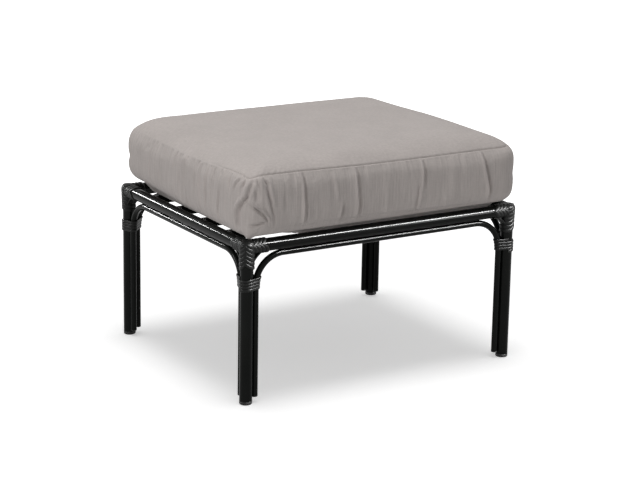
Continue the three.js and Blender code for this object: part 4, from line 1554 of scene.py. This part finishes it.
    def filled(self, levels: Array, span: Array) -> Array:
        """Blow the gathered cover up by its filling, and return how far each place moved.

        A copy of the sleeve becomes cloth with spare width, held along both seams and inside the
        bottom, and pressure pushes it out. Each movement d is then cap tanh(d / cap).

        Args:
            levels: The copy's rows.
            span: The copy's columns.

        Returns:
            Movements of shape (levels, spans, 3).
        """
        rest = self.sleeve(levels, span)
        rows, columns = rest.shape[:2]
        index = np.arange(rows * columns).reshape(rows, columns)
        mesh = bpy.data.meshes.new("cover_copy")
        faces = cell_corners(closed_round(index))
        mesh.from_pydata(rest.reshape(-1, 3).tolist(), [], faces.tolist())
        copy = bpy.data.objects.new("cover_copy", mesh)
        scene = bpy.context.scene
        scene.collection.objects.link(copy)
        held = (levels <= 0) | (np.abs(levels - 1) < 1e-6) | (levels >= levels.max() - 1e-6)
        group = copy.vertex_groups.new(name="held")
        group.add(index[held].ravel().tolist(), 1.0, "REPLACE")
        cloth = copy.modifiers.new("filling", "CLOTH")
        settings = cloth.settings
        settings.quality = 6
        settings.mass = 0.25
        settings.tension_stiffness = 25.0
        settings.compression_stiffness = 25.0
        settings.shear_stiffness = 8.0
        settings.bending_stiffness = 0.08
        settings.shrink_min = -self.slack
        settings.use_pressure = True
        settings.uniform_pressure_force = self.pressure
        settings.vertex_group_mass = group.name
        settings.effector_weights.gravity = 0.0
        cloth.collision_settings.use_collision = False
        cloth.point_cache.frame_start = 1
        cloth.point_cache.frame_end = self.settle_frames
        for frame in range(1, self.settle_frames + 1):
            scene.frame_set(frame)
        shaped = copy.evaluated_get(bpy.context.evaluated_depsgraph_get())
        blown = np.empty(rows * columns * 3, np.float32)
        shaped.data.vertices.foreach_get("co", blown)
        scene.frame_set(1)
        bpy.data.objects.remove(copy)
        moved = blown.reshape(rows, columns, 3) - rest
        length = np.linalg.norm(moved, axis=-1, keepdims=True)
        LOG.info("cover: cloth moved %.1f mm at most", length.max() * 1000)
        cap = self.movement_cap
        return moved * cap * np.tanh(length / cap) / np.maximum(length, 1e-9)

    def gathers(self, along: Array, level: Array) -> Array:
        """Height of the many soft folds that start from the seams.

        Each is a groove -exp(-(d/w)^2) with a ridge 0.55 exp(-((d - 1.9w)/1.4w)^2) beside it, leaning
        a little, and strongest at its seam. In front they are shallower, and on the left narrower
        and deeper.

        Args:
            along: Metres along the rim, of shape (columns).
            level: Levels, of shape (rows).

        Returns:
            Heights of shape (rows, columns).
        """
        random = np.random.default_rng(self.fold_seed)
        lengths = self.side_lengths()
        girth = float(np.sum(lengths))
        shape = (self.gather_count, 1, 1)
        start = random.uniform(0.0, girth, shape)
        in_front, on_left = start < lengths[0], start > girth - lengths[3]
        tight = np.where(on_left, self.left_tight, 1.0)
        lean = random.normal(0.0, self.gather_lean, shape) * tight
        width = random.uniform(*self.gather_width, shape) * tight
        depth = random.uniform(*self.gather_depth, shape) * np.where(in_front, self.front_calm, 1.0)
        depth *= np.where(on_left, self.left_depth, 1.0)
        reach = random.uniform(*self.gather_reach, shape)
        hangs = random.uniform(0.0, 1.0, shape) < self.hanging_share
        rise = np.where(hangs, 1.0 - level[None, :, None], level[None, :, None])
        envelope = smoothstep(rise, reach, 0.0) * smoothstep(rise, -0.02, 0.05)
        offset = along[None, None, :] - start - lean * rise
        offset = (offset + girth / 2) % girth - girth / 2
        ridge = 0.55 * np.exp(-((offset - 1.9 * width) / (1.4 * width)) ** 2)
        groove = np.exp(-(offset / width) ** 2)
        return np.sum(depth * envelope * (ridge - groove), 0)

    def seam_line(self, skin: Array, levels: Array, span: Array) -> Array:
        """Depth of the seam's groove and of the small puckers that run from it.

        The groove is depth exp(-(d/w)^2) with d measured along the skin from the seam. The puckers
        are uneven waves along the rim whose strength falls as exp(-d / reach).

        Args:
            skin: The skin's places, of shape (rows, columns, 3).
            levels: The rows' levels.
            span: The columns' spans.

        Returns:
            Heights of shape (rows, columns).
        """
        along, bite = self.along(span), self.around(self.seam_bite, span) ** 2
        steps = np.linalg.norm(np.diff(skin, axis=0), axis=-1)
        run = np.concatenate([np.zeros((1, skin.shape[1])), np.cumsum(steps, 0)])
        height = np.zeros(run.shape)
        for seam_level, phase in ((1.0, 0.0), (0.0, 2.1)):
            row = int(np.argmin(np.abs(levels - seam_level)))
            distance = np.abs(run - run[row])
            drift = 2.2 * np.sin(along * 31) + 1.4 * np.sin(along * 83)
            wave = np.sin(along * 2 * np.pi / self.pucker_pitch + phase + drift)
            strength = 0.5 + 0.5 * np.sin(along * 23 + phase + np.sin(along * 9.7))
            fade = np.exp(-distance / self.pucker_reach) * smoothstep(distance, 0.0, 0.003)
            height -= self.seam_depth * bite * np.exp(-(distance / self.seam_width) ** 2)
            height += self.pucker_height * wave * strength * fade
        return height

    def levels(self) -> Array:
        """The rows' levels, closer at both seams: t - pull sin(2 pi t) / (2 pi) up the side."""
        even = np.linspace(0.0, 1.0, self.side_rows + 1)
        side = even - self.row_pull * np.sin(2 * np.pi * even) / (2 * np.pi)
        inside = np.linspace(0.0, 1.0, self.margin_rows + 1)[1:] ** 1.9
        return np.concatenate([-inside[::-1], side, 1 + inside])

    def grids(self) -> tuple[Array, Array, Array]:
        """The finished sleeve with its levels and spans."""
        levels = self.levels()
        span = self.spans(self.columns_x, self.columns_y)
        skin = self.sleeve(levels, span)
        along = self.along(span)
        nearest = self.nearest(span)
        coarse = np.concatenate([
            np.linspace(-1, 0, 5)[:-1], np.linspace(0, 1, 25), np.linspace(1, 2, 13)[1:]
        ])
        moved = self.filled(coarse, self.spans(self.columns_x // 2, self.columns_y // 2))
        rows = np.interp(levels, coarse, np.arange(len(coarse)))
        moved = resampled(moved, rows, np.arange(len(span)) / 2)
        even = self.evened(moved, reach=20)
        moved = even + (moved - even) * self.around(self.crinkle, span)[:, None]
        skin = skin + moved * np.where(levels > 1, self.top_share, 1.0)[:, None, None]
        on_side = smoothstep(levels, -0.01, 0.05) * smoothstep(levels, 1.01, 0.95)
        folds = self.gathers(along, np.clip(levels, 0, 1)) * on_side[:, None]
        for crease in self.creases:
            height = crease.height(np.broadcast_to(nearest, skin.shape[:2]), skin[..., 2])
            folds += height * on_side[:, None]
        folds = folds * self.around(self.fold_share, span) + self.seam_line(skin, levels, span)
        zone = self.zip_zone(levels, along)
        skin = self.evened(skin, reach=14) * zone + skin * (1 - zone)
        return skin + self.normals(skin) * folds[..., None] * (1 - zone), levels, span

    def zip_zone(self, levels: Array, along: Array) -> Array:
        """How far a place lies in the smooth patch of the back that holds the zip, from 0 to 1."""
        lengths = self.side_lengths()
        away = np.abs(along - lengths[:2].sum() - lengths[2] / 2) - self.zip_half
        across = np.abs(levels - 0.5) * (self.seam - self.base)
        patch = smoothstep(across, 0.024, 0.012)[:, None] * smoothstep(away, 0.022, 0.008)[None]
        return patch[..., None]

    @staticmethod
    def evened(skin: Array, reach: int) -> Array:
        """Average each row with its neighbours up to reach columns away, weighted by a cosine."""
        weights = np.cos(np.pi / 2 * np.arange(-reach, reach + 1) / (reach + 1))
        shifted = sum(
            weight * np.roll(skin, shift, 1)
            for shift, weight in zip(range(-reach, reach + 1), weights)
        )
        return shifted / weights.sum()

    def rim_sides(self, rim: Array) -> tuple[Array, ...]:
        """A rim's front, right, back and left, each from the left or the front and with both ends."""
        right, back, left = np.cumsum([self.columns_x, self.columns_y, self.columns_x])
        closed = np.concatenate([rim, rim[:1]])
        return (closed[:right + 1], closed[right:back + 1],
                closed[back:left + 1][::-1], closed[left:][::-1])

    def panel(self, rim: Array) -> Array:
        """Places of a grid filled in from a closed rim, of shape (columns_y + 1, columns_x + 1, 3).

        Opposite sides are joined by straight lines both ways, and the corners' blend is taken off:
        (1-v) front + v back + (1-u) left + u right - corners.
        """
        front, right, back, left = self.rim_sides(rim)
        u = np.linspace(0, 1, len(front))[None, :, None]
        v = np.linspace(0, 1, len(left))[:, None, None]
        grid = (1 - v) * front[None] + v * back[None] + (1 - u) * left[:, None] + u * right[:, None]
        return grid - (
            (1 - u) * (1 - v) * front[0] + u * (1 - v) * front[-1]
            + (1 - u) * v * back[0] + u * v * back[-1]
        )

    def panel_index(self, rim_start: int, inner_start: int) -> Array:
        """Point numbers of such a grid, whose rim is numbered from rim_start and whose inside is new."""
        nx, ny = self.columns_x, self.columns_y
        index = np.zeros((ny + 1, nx + 1), int)
        sides = self.rim_sides(rim_start + np.arange(2 * (nx + ny)))
        index[0], index[:, nx], index[ny], index[:, 0] = sides
        index[1:ny, 1:nx] = inner_start + np.arange((ny - 1) * (nx - 1)).reshape(ny - 1, nx - 1)
        return index

    def cover(self, skin: Array, levels: Array, span: Array) -> Surface:
        """Join the sleeve and both filled-in grids into one closed skin.

        The pattern coordinates are metres along the rim, counted from SIDE_PATTERN, and up the
        side, and plain X and Y on the top and bottom.
        """
        rows, columns = skin.shape[:2]
        bottom, top = self.panel(skin[0]), self.panel(skin[-1])
        inner_top = self.top_height(top[..., :2])
        edge = self.top_height(skin[-1, :, :2])
        inner_top += self.panel((skin[-1, :, 2] - edge)[:, None])[..., 0]
        top[1:-1, 1:-1, 2] = inner_top[1:-1, 1:-1]
        bottom[1:-1, 1:-1, 2] = self.bottom_height(bottom[..., :2], self.base)[1:-1, 1:-1]
        inner = (self.columns_x - 1) * (self.columns_y - 1)
        total = rows * columns
        points = np.concatenate([
            skin.reshape(-1, 3), bottom[1:-1, 1:-1].reshape(-1, 3), top[1:-1, 1:-1].reshape(-1, 3)
        ])
        index = closed_round(np.arange(total).reshape(rows, columns))
        on_side = np.repeat((levels[:-1] >= 0) & (levels[:-1] < 1), columns)
        sleeve_faces = cell_corners(index)
        flat_faces = [
            sleeve_faces[~on_side],
            cell_corners(self.panel_index(0, total))[:, ::-1],
            cell_corners(self.panel_index(total - columns, total + inner)),
        ]
        along = np.append(self.along(span), np.sum(self.side_lengths()))
        pattern = cell_corners(stacked(SIDE_PATTERN + along, levels[:, None] * self.pattern_height))
        whole = Surface()
        faces = [sleeve_faces[on_side], *flat_faces]
        patterns = [pattern[on_side], *(points[block][..., :2] for block in flat_faces)]
        whole.add(points, faces, patterns)
        return whole

    def build(self, finishes: Finishes) -> None:
        """Make the cover and its zip."""
        skin, levels, span = self.grids()
        cover = fit(
            self.cover(skin, levels, span), "cushion_cover", finishes.woven_fabric, "cushion",
            "cushion_top_panel", "cushion_boxing", "cushion_bottom_panel", "cushion_foam",
            crease=180.0,
        )
        Zip(self.zip_half).build(self, skin, levels, finishes)


@dataclass(frozen=True)
class Zip:
    """The zip in the back of the cushion: fabric lips with stitches, a chain, a slider and a pull.

    Its parts are made flat, with x along the zip, y up and z out, and then laid on the cover's skin.
    """

    half: float
    chain_pitch: float = 0.0021
    tooth: Point = (0.0015, 0.0034, 0.0016)
    stop: Point = (0.0026, 0.0062, 0.0030)
    slider: Point = (0.0110, 0.0088, 0.0050)
    bridge: Point = (0.0050, 0.0034, 0.0030)
    pull: Point = (0.0056, 0.0190, 0.0016)
    pull_end: Point = (0.0040, 0.0060, 0.0028)
    lip_width: float = 0.0078
    lip_gap: float = 0.0026
    lip_height: float = 0.0016
    stitch_pitch: float = 0.0032

    def block(self, size: Point, place: Point, steps: int) -> Surface:
        """A rounded block: rings of a superellipse that close in along sqrt(1 - u^4)."""
        share = np.linspace(-0.985, 0.985, 5 if steps < 12 else 11)
        swell = (1 - share ** 4) ** 0.5
        section = strap_section(size[0], size[2], steps) * swell[:, None, None]
        path = stacked(0.0, share * size[1] / 2, 0.0)
        return self.flat_skin(carried_rings(path, X_AXIS, Z_AXIS, section) + np.array(place))

    @staticmethod
    def flat_skin(rings: Array) -> Surface:
        """A skin whose pattern coordinates are the flat x and y."""
        return Surface().add_rings(rings, pattern=closed_round(rings)[..., :2])

    def strip(self, low: float, high: float, height: float, base: float, half: float) -> Surface:
        """A strip along the zip with rounded long edges, from y = low to high."""
        x, y = squared_section(16, 0.5).T
        section = stacked((low + high) / 2 + (high - low) / 2 * x, base + height / 2 * (1 + y))
        path = stacked(np.linspace(-half, half, 211), 0.0, 0.0)
        return self.flat_skin(carried_rings(path, Y_AXIS, Z_AXIS, section))

    def chain(self) -> Surface:
        """The tape, the interlocking teeth, both end stops, the slider and its pull."""
        parts = [self.strip(-0.0045, 0.0045, 0.0007, 0.0002, self.half - 0.002)]
        count = int(2 * (self.half - 0.006) / self.chain_pitch)
        for number in range(count):
            side = 1 if number % 2 else -1
            x = (number - count / 2 + 0.5) * self.chain_pitch
            parts.append(self.block(self.tooth, (x, side * 0.0007, 0.0014), 8))
        end, middle = self.half - 0.004, self.half - 0.014
        hung = middle - 0.001
        for size, place, steps in (
            (self.stop, (-end, 0.0, 0.0014), 12),
            (self.stop, (end, 0.0, 0.0014), 12),
            (self.slider, (middle, 0.0, 0.0030), 16),
            (self.bridge, (hung, 0.0, 0.0064), 12),
            (self.pull, (hung, -0.0105, 0.0064), 16),
            (self.pull_end, (hung, -0.0185, 0.0064), 12),
        ):
            parts.append(self.block(size, place, steps))
        return Surface.joined(parts)

    def lips(self) -> Surface:
        """The folded fabric edges above and below the chain, a tab at each end, and the stitches."""
        inner, outer = self.lip_gap, self.lip_gap + self.lip_width
        parts = []
        for side in (-1, 1):
            low, high = sorted((side * inner, side * outer))
            parts.append(self.strip(low, high, self.lip_height, 0.0004, self.half))
            tab_place = (side * (self.half + 0.0015), 0.0, 0.0014)
            parts.append(self.block((0.0070, 2 * outer, 0.0024), tab_place, 16))
            count = int(2 * self.half / self.stitch_pitch)
            for number in range(count):
                x = (number - count / 2 + 0.5) * self.stitch_pitch
                place = (x, side * (outer - 0.0022), self.lip_height + 0.0005)
                parts.append(self.block((self.stitch_pitch * 0.74, 0.0007, 0.0006), place, 8))
        return Surface.joined(parts)

    def laid(self, flat: Surface, cushion: BoxCushion, skin: Array, levels: Array) -> Surface:
        """Lay a flat surface on the middle of the back.

        A point (x, y, z) goes to the skin's place at x along and y up, plus z times the normal.

        Args:
            flat: What is laid.
            cushion: The cushion.
            skin: The finished sleeve.
            levels: Its rows' levels.

        Returns:
            The surface on the cushion.
        """
        row = np.interp(0.5, levels, np.arange(len(levels)))
        columns = cushion.columns_x + cushion.columns_y + np.arange(cushion.columns_x + 1.0)
        middle = resampled(skin, np.array([row]), columns)[0]
        slope = resampled(skin, np.array([row - 1, row + 1]), columns)
        up = unit(slope[1] - slope[0])
        run = np.concatenate([[0.0], np.cumsum(np.linalg.norm(np.diff(middle, axis=0), axis=1))])
        run -= run[-1] / 2
        tangent = unit(np.gradient(middle, run, axis=0))
        normal = unit(np.cross(tangent, up))
        placed = []
        for block in flat.points:
            place, rise, out = (
                np.stack([np.interp(block[:, 0], run, line[:, axis]) for axis in range(3)], -1)
                for line in (middle, up, normal)
            )
            placed.append(place + block[:, 1:2] * rise + block[:, 2:] * out)
        return Surface(placed, list(flat.faces), list(flat.patterns), flat.size)

    def build(self, cushion: BoxCushion, skin: Array, levels: Array, finishes: Finishes) -> None:
        """Make the chain and its fabric lips."""
        chain = self.laid(self.chain(), cushion, skin, levels)
        fit(chain, "zip_chain", finishes.black_plastic, "cushion", "cushion_zip", crease=50.0)
        lips = self.laid(self.lips(), cushion, skin, levels)
        fit(lips, "zip_lips", finishes.woven_fabric, "cushion", crease=50.0)


@dataclass(frozen=True)
class Lamp:
    """A soft rectangular lamp.

    Attributes:
        name: Its name.
        place: Where it stands.
        aim: The point that it faces.
        size: Its two sides.
        watts: Its power.
        glint: Whether it shows in highlights alone and lights nothing, or else never in highlights.
        skips: Names of the pieces that it passes by.
        only: Names of the sole pieces that it lights, or none for all.
    """

    name: str
    place: Point
    aim: Point
    size: Pair
    watts: float
    glint: bool = False
    skips: tuple[str, ...] = ()
    only: tuple[str, ...] = ()

    def build(self) -> None:
        """Make the lamp."""
        light = bpy.data.lights.new(self.name, "AREA")
        light.shape = "RECTANGLE"
        light.size, light.size_y = self.size
        light.energy = self.watts
        holder = bpy.data.objects.new(self.name, light)
        facing = Vector(self.aim) - Vector(self.place)
        turn = facing.to_track_quat("-Z", "Y").to_matrix().to_4x4()
        holder.matrix_world = Matrix.Translation(self.place) @ turn
        holder.visible_camera = False
        holder.visible_diffuse = not self.glint
        holder.visible_glossy = self.glint
        bpy.context.scene.collection.objects.link(holder)
        if self.skips or self.only:
            named = bpy.data.collections.new(self.name + "_pieces")
            for name in self.skips or self.only:
                named.objects.link(bpy.data.objects[name])
            for entry in named.collection_objects:
                entry.light_linking.link_state = "EXCLUDE" if self.skips else "INCLUDE"
            holder.light_linking.receiver_collection = named


@dataclass(frozen=True)
class Studio:
    """The camera, the soft lamps, the white surroundings and the floor."""

    lens: float = 116.56
    camera_place: Point = (-2.17453, -3.53876, 1.36825)
    yaw: float = 0.55342
    pitch: float = 0.26788
    roll: float = 0.01834
    world_light: float = 0.27
    floor_colour: float = 0.90
    floor_glow: float = 0.462
    glow_reach: Pair = (0.7, 1.5)
    floor_half: float = 30.0

    def camera(self) -> None:
        """Place the camera that matches the photograph's view.

        It looks along (sin yaw cos pitch, cos yaw cos pitch, -sin pitch), rolled about that line.
        """
        forward = Vector((
            math.sin(self.yaw) * math.cos(self.pitch),
            math.cos(self.yaw) * math.cos(self.pitch),
            -math.sin(self.pitch),
        ))
        level = Vector((math.cos(self.yaw), -math.sin(self.yaw), 0.0))
        upright = level.cross(forward)
        right = math.cos(self.roll) * level + math.sin(self.roll) * upright
        up = -math.sin(self.roll) * level + math.cos(self.roll) * upright
        data = bpy.data.cameras.new("camera")
        data.lens = self.lens
        data.sensor_width = 36.0
        data.clip_end = 200.0
        camera = bpy.data.objects.new("camera", data)
        turn = Matrix((right, up, -forward)).transposed().to_4x4()
        camera.matrix_world = Matrix.Translation(self.camera_place) @ turn
        bpy.context.scene.collection.objects.link(camera)
        bpy.context.scene.camera = camera

    def surroundings(self) -> None:
        """Light all round softly, and show white to the camera and in reflections."""
        scene = bpy.context.scene
        scene.view_settings.view_transform = "Standard"
        scene.world = bpy.data.worlds.new("studio")
        recipe = Recipe(scene.world)
        rays = recipe.node("LightPath").outputs
        seen = recipe.math("MAXIMUM", rays["Is Camera Ray"], rays["Is Glossy Ray"])
        seen = recipe.math("MAXIMUM", seen, rays["Is Transmission Ray"])
        strength = recipe.span(seen, self.world_light, 1.0)
        light = recipe.node("Background", {"Color": (1.0, 1.0, 1.0, 1.0), "Strength": strength})
        recipe.node("OutputWorld", {"Surface": light.outputs["Background"]})

    def floor(self) -> None:
        """Lay a pale floor that keeps the shadow and turns white away from the object.

        To the camera and in reflections it glows by floor_glow near the object, rising to white over
        the distances of glow_reach.
        """
        recipe = Recipe.of_finish("studio_floor")
        rays = recipe.node("LightPath").outputs
        seen = recipe.math("MAXIMUM", rays["Is Camera Ray"], rays["Is Glossy Ray"])
        place = recipe.place()
        reach = recipe.node("VectorMath", {0: place}, operation="LENGTH").outputs["Value"]
        glow = recipe.span(reach, self.floor_glow, 1.0, *self.glow_reach)
        lit = recipe.node("BsdfDiffuse", {"Color": (self.floor_colour,) * 3 + (1.0,)})
        shine = recipe.node("Emission", {"Strength": recipe.math("MULTIPLY", glow, seen)})
        both = recipe.node("AddShader", {0: lit.outputs["BSDF"], 1: shine.outputs["Emission"]})
        recipe.node("OutputMaterial", {"Surface": both.outputs["Shader"]})
        half = self.floor_half
        mesh = bpy.data.meshes.new("studio_floor")
        corners = [(-half, -half, 0.0), (half, -half, 0.0), (half, half, 0.0), (-half, half, 0.0)]
        mesh.from_pydata(corners, [], [(0, 1, 2, 3)])
        mesh.materials.append(recipe.owner)
        floor = bpy.data.objects.new("studio_floor", mesh)
        bpy.context.scene.collection.objects.link(floor)

    def set_up(self) -> None:
        """Place the camera, the surroundings and the floor."""
        self.camera()
        self.surroundings()
        self.floor()

    def light(self) -> None:
        """Place the lamps, once the pieces that some of them pass by are there."""
        middle = (0.0, 0.0, 0.35)
        floor = ("studio_floor",)
        flat = (*floor, "cushion_cover", *(f"slat_bar_{number}" for number in range(1, 5)))
        aim = (0.0, 0.0, 0.3)
        for lamp in (
            Lamp("overhead_lamp", (0.0, 0.0, 4.0), middle, (1.6, 1.6), 77.0, skips=floor),
            Lamp("floor_lamp", (-0.17, -0.28, 10.1), middle, (4.0, 4.0), 472.0, only=floor),
            Lamp("left_lamp", (-2.5, -0.9, 1.5), middle, (0.9, 0.9), 26.0, skips=floor),
            Lamp("front_lamp", (0.6, -3.2, 1.1), middle, (1.6, 1.0), 6.0, skips=floor),
            Lamp("front_glint", (1.7, -2.35, 2.04), (1.7, -0.25, 0.314), (2.4, 0.3), 900.0, True, flat),
            Lamp("side_glint", (-1.86, 4.25, 1.87), (-0.305, 4.25, 0.314), (1.6, 0.2), 260.0, True,
                 flat),
            Lamp("left_strip", (-2.9, 0.8, 1.3), aim, (0.5, 1.6), 60.0, True, flat),
            Lamp("right_strip", (1.78, -2.41, 1.3), aim, (0.5, 1.6), 60.0, True, flat),
        ):
            lamp.build()


def main() -> None:
    """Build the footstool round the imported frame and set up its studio."""
    logging.basicConfig(level=logging.INFO, format="%(name)s: %(message)s")
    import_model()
    studio = Studio()
    studio.set_up()
    finishes = Finishes.build()
    plan = FramePlan.read()
    tubes = TubeFrame(plan)
    tubes.build(finishes)
    LashedCorner(plan).build(finishes)
    LegBinding(plan, tubes.bend_radius).build(finishes)
    BoxCushion(plan).build(finishes)
    studio.light()


if __name__ == "__main__":
    main()
